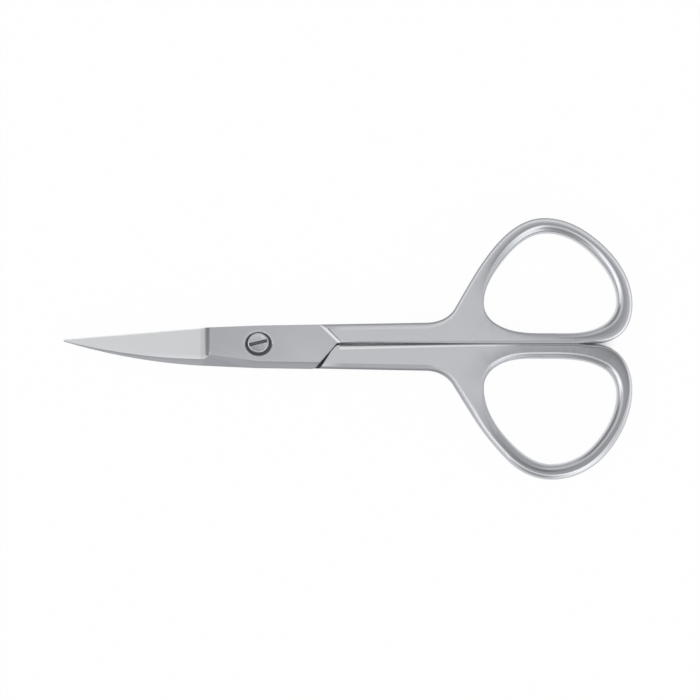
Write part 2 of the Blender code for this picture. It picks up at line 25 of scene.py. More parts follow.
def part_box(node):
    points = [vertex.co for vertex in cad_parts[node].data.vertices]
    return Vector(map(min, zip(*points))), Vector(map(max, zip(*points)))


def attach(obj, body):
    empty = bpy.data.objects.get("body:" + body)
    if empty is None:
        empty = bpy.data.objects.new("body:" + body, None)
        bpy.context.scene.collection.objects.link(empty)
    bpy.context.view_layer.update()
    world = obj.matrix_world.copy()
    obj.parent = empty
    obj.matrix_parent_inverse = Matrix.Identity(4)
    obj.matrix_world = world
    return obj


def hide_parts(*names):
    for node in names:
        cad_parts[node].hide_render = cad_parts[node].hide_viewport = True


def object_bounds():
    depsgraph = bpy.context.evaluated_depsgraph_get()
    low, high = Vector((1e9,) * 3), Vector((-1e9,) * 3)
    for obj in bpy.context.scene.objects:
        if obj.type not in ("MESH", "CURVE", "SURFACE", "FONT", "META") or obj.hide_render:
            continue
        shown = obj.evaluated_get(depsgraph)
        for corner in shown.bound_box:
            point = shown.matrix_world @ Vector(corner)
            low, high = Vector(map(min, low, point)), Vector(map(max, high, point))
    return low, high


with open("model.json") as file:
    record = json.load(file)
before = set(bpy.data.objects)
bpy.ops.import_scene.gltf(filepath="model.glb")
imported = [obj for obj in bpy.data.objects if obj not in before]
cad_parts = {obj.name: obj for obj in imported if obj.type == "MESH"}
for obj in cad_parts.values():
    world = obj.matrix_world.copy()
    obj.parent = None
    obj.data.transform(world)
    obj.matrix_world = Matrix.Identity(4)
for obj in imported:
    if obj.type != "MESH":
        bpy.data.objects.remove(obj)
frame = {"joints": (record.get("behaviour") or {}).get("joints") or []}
CAD_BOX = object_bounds()
FRONT_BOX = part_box("front_half")
PIVOT = Vector(frame["joints"][0]["pos_m"])

MM = 0.001
POLISH_LAYER = "polish"
# Layer of painted edge light: a painted highlight above zero, painted shade below it
EDGE_LIGHT_LAYER = "burnish"

# Curves and roundings are this fine
LOOP_STEPS = 22
BODY_STEPS = 8
ROUND_ROWS = 10
COVE_STEPS = 12
COVE_SECTIONS = 12
TURNED_SIDES = 96
ARC_STEPS = 6

# Points nearer to each other than this are one point, in a piece and in a turned blank
WELD = 0.002 * MM
TURNED_WELD = 0.001 * MM
# Faces narrower than this are dropped
SLIVER = 0.0005 * MM
# The cove's faces lie higher than this above the blade's
LEVEL_TOLERANCE = 0.0001 * MM
# A face whose normal rises less than this is a step's
STEP_FACING = 0.9
# Faces that meet at more degrees than this keep an edge
SHARP_ANGLE = 30.0
# A stretch that turns by fewer degrees is straight, with handles of this share of its length
STRAIGHT_TURN = 1.0
STRAIGHT_HANDLE_SHARE = 1 / 3
# Triangulation that keeps to the inside of the borders
INSIDE = 1
# Octaves of the noise in the finishes
GRAIN_DETAIL = 3.0
CLOUD_DETAIL = 2.0

log = logging.getLogger("nail_scissors")


def linear(colour: str) -> tuple[float, float, float, float]:
    """Turns an sRGB colour into linear light.

    Args:
        colour: Six hex digits after a hash sign.

    Returns:
        Red, green, blue and alpha, each from 0 to 1.
    """
    channels = [int(colour[start:start + 2], 16) / 255 for start in (1, 3, 5)]
    light = [c / 12.92 if c <= 0.04045 else ((c + 0.055) / 1.055) ** 2.4 for c in channels]
    return (*light, 1.0)


def mix(start: float, end: float, share: float) -> float:
    """Value that lies this share of the way from start to end."""
    return start + (end - start) * share


class Graph:
    """Node tree of a material or of the world, which grows socket by socket."""

    def __init__(self, tree: NodeTree) -> None:
        """Starts from the tree as it is."""
        self.tree = tree

    def fill(self, node: Node, inputs: dict[str | int, object]) -> None:
        """Sets or links inputs of a node.

        Args:
            node: The node.
            inputs: For each input, by name or number, its value or the socket it is linked to.
        """
        for name, value in inputs.items():
            if isinstance(value, NodeSocket):
                self.tree.links.new(value, node.inputs[name])
            else:
                node.inputs[name].default_value = value

    def add_node(
        self, kind: str, inputs: dict[str | int, object] | None = None, **settings: object,
    ) -> Node:
        """Adds a node with its settings, values and links.

        Args:
            kind: Blender's name of the node type, without its first words.
            inputs: For each input, by name or number, its value or the socket it is linked to.
            settings: Attributes of the node, by name.

        Returns:
            The new node.
        """
        node = self.tree.nodes.new(f"ShaderNode{kind}")
        for name, value in settings.items():
            setattr(node, name, value)
        self.fill(node, inputs or {})
        return node

    def place(self, kind: str = "Object") -> NodeSocket:
        """Coordinates of the point that is seen."""
        return self.add_node("TexCoord").outputs[kind]

    def along(self) -> NodeSocket:
        """Distance of the point along X."""
        return self.add_node("SeparateXYZ", {0: self.place()}).outputs["X"]

    def layer(self, name: str) -> NodeSocket:
        """Value that the mesh holds in a layer."""
        return self.add_node("Attribute", attribute_name=name).outputs["Fac"]

    def noise(self, place: NodeSocket, size: float, detail: float) -> NodeSocket:
        """Noise with spots of this size."""
        inputs = {"Vector": place, "Scale": 1 / size, "Detail": detail}
        return self.add_node("TexNoise", inputs).outputs["Fac"]

    def compute(
        self, operation: str, first: NodeSocket | float, second: NodeSocket | float = 0.0,
    ) -> NodeSocket:
        """Result of an operation on one or two values."""
        return self.add_node("Math", {0: first, 1: second}, operation=operation).outputs[0]

    def rescale(
        self, value: NodeSocket, old: tuple[float, float],
        new: tuple[float, float] = (0.0, 1.0), passage: str = "LINEAR",
    ) -> NodeSocket:
        """Moves a value from one range to another, inside which it stays.

        Args:
            value: Socket with the value.
            old: Both ends of the range that it comes from.
            new: Both ends of the range that it goes to.
            passage: Blender's name of the form of the passage.

        Returns:
            Socket with the moved value.
        """
        ends = {"From Min": old[0], "From Max": old[1], "To Min": new[0], "To Max": new[1]}
        inputs = {"Value": value, **ends}
        return self.add_node("MapRange", inputs, interpolation_type=passage).outputs["Result"]

    def blend(
        self, share: NodeSocket, start: NodeSocket | float, end: NodeSocket | float,
    ) -> NodeSocket:
        """Value that lies this share of the way from start to end."""
        return self.add_node("Mix", {"Factor": share, "A": start, "B": end}).outputs[0]

    def tint(
        self, share: NodeSocket, start: NodeSocket | str, end: NodeSocket | str,
    ) -> NodeSocket:
        """Colour that lies this share of the way from start to end.

        Args:
            share: Socket with the share.
            start: First colour, as a socket or in hex digits.
            end: Last colour, as a socket or in hex digits.

        Returns:
            Socket with the colour.
        """
        first, last = (linear(side) if isinstance(side, str) else side for side in (start, end))
        inputs = {"Factor": share, "A": first, "B": last}
        return self.add_node("Mix", inputs, data_type="RGBA").outputs[2]

    def steepness(self, flat: float, steep: float) -> NodeSocket:
        """Tells how steep the surface is against the plane that the scissors lie in.

        Args:
            flat: Upward part of the normal of a face that counts as flat.
            steep: Upward part of the normal of a face that counts as steep.

        Returns:
            Socket that goes from 0 where the surface is flat to 1 where it is steep.
        """
        upward = self.add_node("SeparateXYZ", {0: self.place("Normal")}).outputs["Z"]
        return self.rescale(self.compute("ABSOLUTE", upward), (flat, steep))


@dataclass(frozen=True)
class SteelFinish:
    """Stainless cutlery steel with one way of finishing its surface.

    Martensitic stainless steel is a neutral, faintly blue grey metal. What differs from place
    to place is how its surface was made, which sets how wide a reflection spreads.
    """

    name: str
    colour: str
    shade: str
    roughness: float
    roughness_spread: float
    grain: float
    grain_depth: float
    grain_stretch: tuple[float, float, float] = (1.0, 1.0, 1.0)
    cloud: float = 5 * MM

    def tinted(self, graph: Graph, colour: NodeSocket) -> NodeSocket:
        """Colour of the finish, which is the steel's own unless a finish changes it."""
        return colour

    def rubbed(self, graph: Graph, roughness: NodeSocket) -> NodeSocket:
        """Roughness of the finish, which is the steel's own unless a finish changes it."""
        return roughness

    def material(self) -> Material:
        """Makes the finish from fine grain and slow clouds of shade.

        Returns:
            The material.
        """
        made = bpy.data.materials.new(self.name)
        made.use_nodes = True
        graph = Graph(made.node_tree)
        place = graph.place()
        stretched = graph.add_node(
            "VectorMath", {0: place, 1: self.grain_stretch}, operation="MULTIPLY",
        )
        grain = graph.noise(stretched.outputs[0], self.grain, GRAIN_DETAIL)
        cloud = graph.noise(place, self.cloud, CLOUD_DETAIL)
        spread = (self.roughness - self.roughness_spread, self.roughness + self.roughness_spread)
        bump = graph.add_node("Bump", {"Height": grain, "Distance": self.grain_depth})
        graph.fill(made.node_tree.nodes["Principled BSDF"], {
            "Metallic": 1.0,
            "Base Color": self.tinted(graph, graph.tint(cloud, self.shade, self.colour)),
            "Roughness": self.rubbed(graph, graph.rescale(grain, (0.0, 1.0), spread)),
            "Normal": bump.outputs["Normal"],
        })
        return made


@dataclass(frozen=True)
class HandleSteel(SteelFinish):
    """Satin steel of shank and web that passes into the mopped, mirror-like finger loops.

    The roundings of the satin part are painted a shade darker than its faces, the steeper the
    darker: painted shade. The edges of the slit, the loop and the shank carry a painted highlight,
    near white and rougher, or painted shade where the painted edge light is below zero.
    """

    # Colour of the painted shade on the steepest roundings
    round_shade_colour: str = "#ACAEB3"
    flat_facing: float = 0.995
    round_facing: float = 0.88
    loop_colour: str = "#C4C6CA"
    loop_roughness: float = 0.15
    edge_highlight_colour: str = "#FBFCFE"
    edge_roughness: float = 0.55
    edge_shade_colour: str = "#5C5E62"

    def rubbed(self, graph: Graph, roughness: NodeSocket) -> NodeSocket:
        """Roughness with the mesh's polish, rougher under the painted edge highlight."""
        polished = graph.blend(graph.layer(POLISH_LAYER), roughness, self.loop_roughness)
        return graph.blend(graph.layer(EDGE_LIGHT_LAYER), polished, self.edge_roughness)

    def tinted(self, graph: Graph, colour: NodeSocket) -> NodeSocket:
        """Colour with the roundings' painted shade, the mesh's polish and its painted edge light.

        Args:
            graph: Node tree that takes the nodes.
            colour: Socket with the steel's own colour.

        Returns:
            Socket with the colour.
        """
        burnish = graph.layer(EDGE_LIGHT_LAYER)
        # Painted shade: the steeper the rounding, the darker it is painted
        rounded = graph.steepness(self.flat_facing, self.round_facing)
        shaded_round = graph.tint(rounded, colour, self.round_shade_colour)
        mopped = graph.tint(graph.layer(POLISH_LAYER), shaded_round, self.loop_colour)
        # Painted highlight on the edges, then painted shade where the layer is below zero
        edged = graph.tint(burnish, mopped, self.edge_highlight_colour)
        return graph.tint(graph.compute("MULTIPLY", burnish, -1.0), edged, self.edge_shade_colour)


@dataclass(frozen=True)
class PassingSteel(SteelFinish):
    """Finish that passes into another shade along the scissors.

    The places where the other shade and the finish's own are reached are distances from the
    pivot, counted towards the loops.
    """

    other_colour: str = "#BDBFC4"
    other_at: float = -8.0 * MM
    own_at: float = 8.0 * MM

    def tinted(self, graph: Graph, colour: NodeSocket) -> NodeSocket:
        """Colour with its passage into the other shade."""
        passage = (PIVOT.x + self.other_at, PIVOT.x + self.own_at)
        return graph.tint(graph.rescale(graph.along(), passage), self.other_colour, colour)


@dataclass(frozen=True)
class CoveSteel(SteelFinish):
    """Run-out of the grinding wheel: as pale as the blade at its foot, as the plate at its lip.

    Between the two it is steep, and there its colour is painted dark: painted shade in the cove.
    """

    lip_colour: str = "#BDBFC4"
    cove_shade_colour: str = "#84868B"
    flat_facing: float = 0.995
    steep_facing: float = 0.945
    # The darkest line lies this much nearer to the lip than the middle of the run
    dark_shift: float = 0.03 * MM
    dark_power: float = 1.3

    def tinted(self, graph: Graph, colour: NodeSocket) -> NodeSocket:
        """Colour that passes from foot to lip, with painted shade where the surface is steep.

        Args:
            graph: Node tree that takes the nodes.
            colour: Socket with the steel's own colour.

        Returns:
            Socket with the colour.
        """
        foot = PIVOT.x - SIZES.cove_lip - SIZES.cove_run + self.dark_shift
        climbed = graph.rescale(graph.along(), (foot, foot + SIZES.cove_run))
        hump = graph.compute("MULTIPLY", climbed, graph.compute("SUBTRACT", 1.0, climbed))
        # The product is a quarter in the middle
        narrowed = graph.compute("POWER", graph.compute("MULTIPLY", hump, 4.0), self.dark_power)
        # Painted shade, darkest in the middle of the run where the cove is steep
        steep = graph.steepness(self.flat_facing, self.steep_facing)
        ground = graph.tint(climbed, colour, self.lip_colour)
        return graph.tint(graph.compute("MULTIPLY", narrowed, steep), ground, self.cove_shade_colour)


FINISHES: dict[str, SteelFinish] = {
    # Forged handle: satin from fine belts and blasting, so its faces look evenly matt. The real
    # grit of about 0.03 mm is too fine to show, so the grain is drawn at 0.25 mm.
    "handle": HandleSteel(
        "satin_handle_steel", "#D6D8DC", "#D3D5D9", 0.46, 0.02, 0.25 * MM, 0.0003 * MM,
    ),
    # Joint plate: ground flat along its length, a shade darker than the handle. Towards the blade
    # it
    # is painted darker still: painted shade.
    "plate": PassingSteel(
        "ground_plate_steel", "#CDCFD3", "#C9CBCF", 0.44, 0.03, 0.2 * MM, 0.0006 * MM,
        (0.12, 1.0, 1.0),
    ),
    # Blade face: ground across with a fine stone; paler and brighter. The last stretch before the
    # cove is painted duller: painted shade beside the cove.
    "blade": PassingSteel(
        "ground_blade_steel", "#F0F1F4", "#EDEFF1", 0.44, 0.02, 0.18 * MM, 0.0005 * MM,
        (1.0, 0.1, 1.0), other_colour="#DBDCDF", other_at=-8.75 * MM, own_at=-9.4 * MM,
    ),
    # Back bevel: coarser wheel marks that run along it. It is painted darker than the plate, and a
    # little darker still beside the plate: painted shade of its slope.
    "bevel": PassingSteel(
        "wheel_ground_painted_shade_steel", "#ACAEB3", "#A5A7AB", 0.38, 0.04, 0.16 * MM, 0.0008 * MM,
        (0.15, 1.0, 1.0), other_colour="#A1A3A8", other_at=-4.0 * MM, own_at=-12.0 * MM,
    ),
    # Wheel run-out at the blade's root: its marks run across, as the blade's do; it carries
    # painted shade where it is steep
    "cove": CoveSteel(
        "wheel_cove_steel", "#DBDCDF", "#D8DADC", 0.44, 0.02, 0.18 * MM, 0.0005 * MM,
        (1.0, 0.1, 1.0),
    ),
    # Screw: turned on a lathe, cleaner and a little brighter than the halves
    "screw": SteelFinish(
        "turned_screw_steel", "#DCDEE3", "#BABCC2", 0.26, 0.05, 0.3 * MM, 0.001 * MM,
        cloud=0.5 * MM,
    ),
    # Drilled recess and sawn screw slot: painted dark grey, a painted shade in these hollows, less
    # dark than in the gaps
    "drilled": SteelFinish(
        "drilled_recess_steel", "#74767B", "#6C6E73", 0.45, 0.05, 0.2 * MM, 0.001 * MM,
    ),
    # Gaps between the halves: rough tool marks, painted dark as the shade between the halves, up
    # to where the loops part; there the painted shade passes into paler steel.
    "gap": PassingSteel(
        "sawn_gap_painted_shade_steel", "#6C6E72", "#606266", 0.45, 0.05, 0.2 * MM, 0.001 * MM,
        other_colour="#ACAEB3", other_at=53.0 * MM, own_at=44.0 * MM,
    ),
    # Step: the same steel, smoother and painted near white: a painted highlight along the step
    "bright": SteelFinish(
        "burnished_edge_steel", "#F0F1F3", "#ECEDEF", 0.25, 0.02, 0.2 * MM, 0.0005 * MM,
    ),
}


@dataclass(frozen=True)
class Rim:
    """Rounding of an edge: how far it reaches in, and how much thickness it takes off."""

    width: float = 0.0
    depth: float = 0.0

    def share(self, share: float) -> "Rim":
        """Rounding that is this share of this one."""
        return Rim(self.width * share, self.depth * share)

    def towards(self, other: "Rim", share: float) -> "Rim":
        """Rounding that lies this share of the way to another."""
        return Rim(mix(self.width, other.width, share), mix(self.depth, other.depth, share))


SHARP = Rim()


@dataclass(frozen=True)
class Anchor:
    """Point that an outline passes through, with its heading in degrees."""

    place: Vector
    heading: float
    rim: Rim = SHARP
    polish: float = 0.0
    burnish: float = 0.0

    def direction(self) -> Vector:
        """Unit vector with the anchor's heading."""
        angle = math.radians(self.heading)
        return Vector((math.cos(angle), math.sin(angle)))

    def handle_to(self, other: "Anchor") -> float:
        """Length of the curve's handles, which turns an even bend into a round arc.

        Args:
            other: Next anchor of the outline.

        Returns:
            The length.
        """
        chord = (other.place - self.place).length
        turn = math.radians(other.heading - self.heading)
        if abs(turn) < math.radians(STRAIGHT_TURN):
            return chord * STRAIGHT_HANDLE_SHARE
        return chord * 4 / 3 * math.tan(turn / 4) / (2 * math.sin(turn / 2))


class Outline:
    """Closed plan line, collected stretch by stretch."""

    def __init__(self) -> None:
        """Starts with no points."""
        self.places: list[Vector] = []
        self.rims: list[Rim] = []
        self.finish: list[tuple[float, float]] = []

    def curve(self, anchors: Sequence[Anchor], steps: int) -> None:
        """Adds the smooth curve through the anchors, without its last point.

        Args:
            anchors: Points and headings.
            steps: Points on each stretch between two anchors.
        """
        for start, end in zip(anchors, anchors[1:]):
            reach = start.handle_to(end)
            points = geometry.interpolate_bezier(
                start.place, start.place + start.direction() * reach,
                end.place - end.direction() * reach, end.place, steps + 1,
            )
            for index, point in enumerate(points[:-1]):
                share = index / steps
                self.places.append(Vector(point))
                self.rims.append(start.rim.towards(end.rim, share))
                polish = mix(start.polish, end.polish, share)
                self.finish.append((polish, mix(start.burnish, end.burnish, share)))

    def line(
        self, start: Vector, end: Vector, rims: tuple[Rim, Rim] = (SHARP, SHARP),
        burnish: float = 0.0,
    ) -> None:
        """Adds a straight stretch, without its last point.

        Args:
            start: First point.
            end: Last point.
            rims: Rounding at the first and the last point.
            burnish: Painted highlight on the edge, or painted shade below zero.
        """
        heading = math.degrees(math.atan2(end.y - start.y, end.x - start.x))
        places = zip((start, end), rims)
        anchors = [Anchor(place, heading, rim, burnish=burnish) for place, rim in places]
        self.curve(anchors, BODY_STEPS)

    def normals(self, side: int) -> list[Vector]:
        """Unit normals of the closed line.

        Args:
            side: 1 for normals to the left of the line, -1 for the right.

        Returns:
            A normal for each point.
        """
        normals = []
        for index in range(len(self.places)):
            ahead = self.places[(index + 1) % len(self.places)]
            along = (ahead - self.places[index - 1]).normalized()
            normals.append(Vector((-along.y, along.x)) * side)
        return normals


def loft(sections: Sequence[Sequence]) -> BMesh:
    """Closed block through a row of closed sections.

    Args:
        sections: Rows of points, as many in each.

    Returns:
        The block's mesh.
    """
    bm = bmesh.new()
    rings = [[bm.verts.new(point) for point in section] for section in sections]
    for ring, following in zip(rings, rings[1:]):
        for index in range(len(ring)):
            bm.faces.new([ring[index - 1], ring[index], following[index], following[index - 1]])
    bm.faces.new(rings[0])
    bm.faces.new(rings[-1])
    bmesh.ops.recalc_face_normals(bm, faces=list(bm.faces))
    return bm


def turned(profile: Sequence[tuple[float, float]]) -> BMesh:
    """Solid of revolution about the pivot axis.

    Args:
        profile: Radius and level of each point, from the axis and back to it.

    Returns:
        The solid's mesh.
    """
    bm = bmesh.new()
    verts = [bm.verts.new((radius, 0, level)) for radius, level in profile]
    edges = [bm.edges.new(pair) for pair in zip(verts, verts[1:])]
    bmesh.ops.spin(
        bm, geom=verts + edges, axis=(0, 0, 1), cent=(0, 0, 0),
        steps=TURNED_SIDES, angle=2 * math.pi, use_merge=True,
    )
    bmesh.ops.remove_doubles(bm, verts=list(bm.verts), dist=TURNED_WELD)
    bmesh.ops.recalc_face_normals(bm, faces=list(bm.faces))
    return bm


def around(items: list) -> Iterator[tuple]:
    """Each item of a closed row with the one before it."""
    return zip(items[-1:] + items, items)


def add_object(name: str, bm: BMesh, *materials: Material) -> Object:
    """Object with this mesh and these materials.

    Args:
        name: The object's name.
        bm: Mesh, which is freed.
        materials: Finishes of its faces, by the faces' own numbers.

    Returns:
        The object.
    """
    mesh = bpy.data.meshes.new(name)
    bm.to_mesh(mesh)
    bm.free()
    for material in materials:
        mesh.materials.append(material)
    item = bpy.data.objects.new(name, mesh)
    bpy.context.scene.collection.objects.link(item)
    return item


class Workpiece:
    """Piece of steel that is cut to shape, then settled into one plain mesh."""

    def __init__(
        self, name: str, blank: BMesh, finishes: dict[str, Material], *skin: str,
    ) -> None:
        """Starts from the blank.

        Args:
            name: Name of the piece.
            blank: Mesh of the blank, in the half frame.
            finishes: Materials by name.
            skin: Names of the blank's finishes, by the faces' own numbers.
        """
        self.finishes = finishes
        self.item = add_object(name, blank, *(finishes[finish] for finish in skin))
        self.cutters: list[Object] = []

    def cut(self, name: str, bm: BMesh, *skin: str) -> None:
        """Cuts the piece and leaves these finishes on the cut faces.

        Args:
            name: Name of the cut.
            bm: Mesh of what is cut away.
            skin: Names of the cut's finishes, by the faces' own numbers.
        """
        materials = (self.finishes[finish] for finish in skin)
        cutter = add_object(f"{self.item.name}_{name}", bm, *materials)
        modifier = self.item.modifiers.new(name, "BOOLEAN")
        modifier.operation = "DIFFERENCE"
        modifier.solver = "EXACT"
        modifier.material_mode = "TRANSFER"
        modifier.object = cutter
        self.cutters.append(cutter)

    def settle(self, place: Matrix) -> Object:
        """Makes the cuts part of the mesh and moves it to its place in the model.

        Args:
            place: Transform from the half frame to the model.

        Returns:
            The finished object.
        """
        graph = bpy.context.evaluated_depsgraph_get()
        mesh = bpy.data.meshes.new_from_object(
            self.item.evaluated_get(graph), preserve_all_data_layers=True, depsgraph=graph,
        )
        self.item.modifiers.clear()
        self.item.data = mesh
        for cutter in self.cutters:
            bpy.data.objects.remove(cutter)
        bm = bmesh.new()
        bm.from_mesh(mesh)
        bmesh.ops.remove_doubles(bm, verts=list(bm.verts), dist=WELD)
        bmesh.ops.dissolve_degenerate(bm, edges=list(bm.edges), dist=SLIVER)
        bmesh.ops.transform(bm, matrix=place, verts=list(bm.verts))
        bm.to_mesh(mesh)
        bm.free()
        mesh.name = self.item.name
        mesh.shade_smooth()
        mesh.set_sharp_from_angle(angle=math.radians(SHARP_ANGLE))
        weighted = self.item.modifiers.new("face_normals", "WEIGHTED_NORMAL")
        weighted.keep_sharp = True
        return self.item


@dataclass(frozen=True)
class JointSizes:
    """Sizes that both halves share, in the half frame."""

    blade_reach: float = PIVOT.x - FRONT_BOX[0].x
    handle_reach: float = FRONT_BOX[1].x - PIVOT.x
    thickness: float = CAD_BOX[1].z - CAD_BOX[0].z
    ride_gap: float = 0.2 * MM
    face_relief: float = 0.25 * MM
    shoulder_gap: float = 0.08 * MM
    shoulder_chamfer: float = 0.10 * MM
    step_chamfer: float = 0.43 * MM
    hollow_width: float = 0.18 * MM
    hollow_depth: float = 0.03 * MM
    # Half the slit's width at the diagonal
    slit_side: float = 0.18 * MM
    # The shoulder stands off by this much more at the side, from this share of its length on
    shoulder_taper: float = 0.66 * MM
    shoulder_knee_share: float = 0.3
    # This much of the lap's floor, beside the shoulder, takes the gaps' painted shade
    shaded_strip: float = 0.9 * MM
    corner_break: float = 0.3 * MM
    # The shank's corner between shoulder and slit is taken off over this much of both
    shank_corner: tuple[float, float] = (0.5 * MM, 0.3 * MM)
    root_reach: float = 8.0 * MM
    tip_height: float = 0.52 * MM
    tip_radius: float = 0.2 * MM
    blade_back_thickness: float = 1.35 * MM
    blade_edge_thickness: float = 0.75 * MM
    blade_tip_thickness: float = 0.4 * MM
    # The wheel's run-out climbs to the plate in a soft S, this long, up to its lip
    cove_run: float = 1.35 * MM
    cove_lip: float = 7.4 * MM
    cove_overrun: float = 0.02 * MM
    back_bevel: Rim = Rim(1.1 * MM, 0.3 * MM)
    tip_bevel_width: float = 0.12 * MM
    cutting_bevel_width: float = 0.14 * MM
    cutting_land: float = 0.1 * MM
    loop_band: float = 2.45 * MM
    hole_length: float = 21.05 * MM
    neck_length: float = 9.1 * MM
    loop_rim: Rim = Rim(1.2 * MM, 1.2 * MM)
    shank_rim: Rim = Rim(1.0 * MM, 0.35 * MM)
    # A painted edge highlight takes the outer part of an edge's rounding, from this share of
    # its rows on
    painted_light_rows_share: float = 0.5
    head_radius: float = 1.68 * MM
    head_height: float = 0.75 * MM
    head_sink: float = 0.05 * MM
    # Radii of the head's worn recess, along the scissors and across them
    recess_radii: tuple[float, float] = (2.12 * MM, 1.87 * MM)
    seat_gap: float = 0.1 * MM
    shank_radius: float = 1.2 * MM
    turning_clearance: float = 0.08 * MM
    thread_radius: float = 1.0 * MM
    thread_clearance: float = 0.06 * MM
    thread_sink: float = 0.05 * MM
    recess_lip: Rim = Rim(0.35 * MM, 0.02 * MM)
    overrun: float = 1.0 * MM

    @property
    def half_thickness(self) -> float:
        """Distance of the outer face from the plane where the halves meet."""
        return self.thickness / 2

    @property
    def inner_face(self) -> float:
        """Level of the inner face."""
        return self.ride_gap / 2

    @property
    def plate_face(self) -> float:
        """Level of the joint plate's outer face."""
        return self.half_thickness - self.face_relief

    @property
    def hole_left(self) -> float:
        """Distance of the finger hole from the pivot."""
        return self.handle_reach - self.loop_band - self.hole_length

    @property
    def shank_length(self) -> float:
        """Distance from the pivot to where the loop leaves the straight shank."""
        return self.hole_left - self.neck_length

    @property
    def recess_floor(self) -> float:
        """Level of the recess under the screw's head."""
        return self.plate_face - self.head_sink - self.head_height - self.seat_gap


SIZES = JointSizes()


class Side(Enum):
    """The two halves, each with its turn about X into the model."""

    FRONT = 0.0
    REAR = math.pi

    def place(self) -> Matrix:
        """Transform from the half frame to the model."""
        return Matrix.Translation(PIVOT) @ Matrix.Rotation(self.value, 4, "X")


@dataclass(frozen=True)
class Diagonal:
    """Line where a plate ends: where it crosses the slit line, and its run to the edge."""

    reach: float
    run: float


LoopRow = tuple[float, float, float, float, float]
Heights = tuple[float, float, float]


@dataclass(frozen=True)
class HalfSizes:
    """Sizes of one half's own body and finger loop.

    Edge heights are distances from the line of pivot and slit at the blade's root, the pivot
    and the shank's end. Hole shares are of the hole's box and loop shares of that box grown by
    the loop's band; each row also has the curve's heading, its share of the loop's rim and how
    far it is polished.
    """

    side: Side
    cut_heights: Heights
    back_heights: Heights
    cut_diagonal: Diagonal
    back_diagonal: Diagonal
    inset: float
    back_bulge: float
    hole_start: float
    hole_height: float
    hole_shares: tuple[LoopRow, ...]
    loop_shares: tuple[LoopRow, ...]
    # The slit's edge: rounding and painted edge light at the diagonal. Then, for places along the
    # loop, share across it, half the slit's width, rounding, polish and painted edge light.
    # Painted edge light above zero is a painted highlight, below zero painted shade.
    slit_rim: Rim
    slit_painted_light: float
    slit_rows: tuple[tuple[float, float, Rim, float, float], ...]
    loop_painted_light: float
    shank_painted_light: float
    # Rounding takes at most these shares of the metal between the loop's two edges
    hole_rim_limit: float = 0.60
    loop_rim_limit: float = 0.36


UPPER_HEIGHTS = (2.6 * MM, 2.9 * MM, 3.35 * MM)
LOWER_HEIGHTS = (3.5 * MM, 3.85 * MM, 4.25 * MM)
UPPER_DIAGONAL = Diagonal(12.7 * MM, 3.15 * MM)
LOWER_DIAGONAL = Diagonal(12.3 * MM, 3.5 * MM)

# Painted edge light of slit, loop and shank: a highlight above zero, painted shade below
FRONT_SIZES = HalfSizes(
    side=Side.FRONT, cut_heights=UPPER_HEIGHTS, back_heights=LOWER_HEIGHTS,
    cut_diagonal=UPPER_DIAGONAL, back_diagonal=LOWER_DIAGONAL, inset=0.0, back_bulge=7.0,
    hole_start=1.7 * MM, hole_height=15.75 * MM,
    slit_rim=Rim(0.3 * MM, 0.15 * MM), slit_painted_light=-0.3,
    slit_rows=(
        (0.26, 0.006 * MM, Rim(0.55 * MM, 0.12 * MM), 0.0, -0.35),
        (0.66, 0.006 * MM, Rim(0.55 * MM, 0.15 * MM), 0.4, -0.4),
        (0.76, 0.06 * MM, Rim(0.6 * MM, 0.5 * MM), 0.5, -0.4),
    ),
    loop_painted_light=0.8, shank_painted_light=0.4,
    hole_shares=(
        (0.00, 0.30, 270, 0.25, 0.0), (0.08, 0.105, 325, 0.3, 0.1),
        (0.51, 0.00, 360, 0.6, 0.3), (0.90, 0.083, 392, 0.9, 1.0),
        (1.00, 0.31, 450, 0.95, 1.0), (0.82, 0.783, 495, 1.15, 1.0),
        (0.47, 1.00, 540, 1.25, 1.0), (0.136, 0.708, 592, 0.9, 0.9),
    ),
    loop_shares=(
        (0.93, 0.109, 42, 0.4, 0.3), (1.00, 0.341, 90, 0.4, 0.1), (0.81, 0.806, 138, 0.5, 0.0),
        (0.465, 1.00, 180, 0.5, 0.0), (0.095, 0.671, 235, 0.35, 0.0),
        (-0.08, 0.308, 239.5, 0.4, 0.0),
    ),
)
REAR_SIZES = HalfSizes(
    side=Side.REAR, cut_heights=LOWER_HEIGHTS, back_heights=UPPER_HEIGHTS,
    cut_diagonal=LOWER_DIAGONAL, back_diagonal=UPPER_DIAGONAL, inset=0.12 * MM,
    back_bulge=0.0, hole_start=2.4 * MM, hole_height=16.65 * MM,
    slit_rim=Rim(0.75 * MM, 0.3 * MM), slit_painted_light=1.0,
    slit_rows=(
        (0.15, 0.006 * MM, Rim(0.36 * MM, 0.12 * MM), 0.0, 0.9),
        (0.32, 0.006 * MM, Rim(0.36 * MM, 0.10 * MM), 0.5, -0.1),
        (0.66, 0.006 * MM, Rim(0.36 * MM, 0.12 * MM), 0.6, -0.2),
        (0.76, 0.06 * MM, Rim(0.6 * MM, 0.5 * MM), 0.7, -0.2),
    ),
    loop_painted_light=0.15, shank_painted_light=-0.4,
    hole_shares=(
        (0.00, 0.27, 270, 0.3, 0.0), (0.075, 0.09, 322, 0.8, 0.5),
        (0.50, 0.00, 360, 1.0, 1.0), (0.90, 0.093, 390, 1.0, 1.0),
        (1.00, 0.33, 450, 1.0, 1.0), (0.83, 0.816, 492, 0.85, 1.0),
        (0.51, 1.00, 540, 1.0, 1.0), (0.20, 0.787, 586, 1.4, 0.7),
    ),
    loop_shares=(
        (0.927, 0.084, 48, 0.4, 1.0), (1.00, 0.336, 90, 0.5, 1.0),
        (0.837, 0.82, 132, 1.0, 1.0), (0.508, 1.00, 180, 1.0, 1.0),
        (0.236, 0.855, 226, 0.7, 1.0), (0.047, 0.573, 237, 0.9, 0.5),
        (-0.089, 0.309, 238.5, 0.7, 0.0),
    ),
    hole_rim_limit=0.59,
)


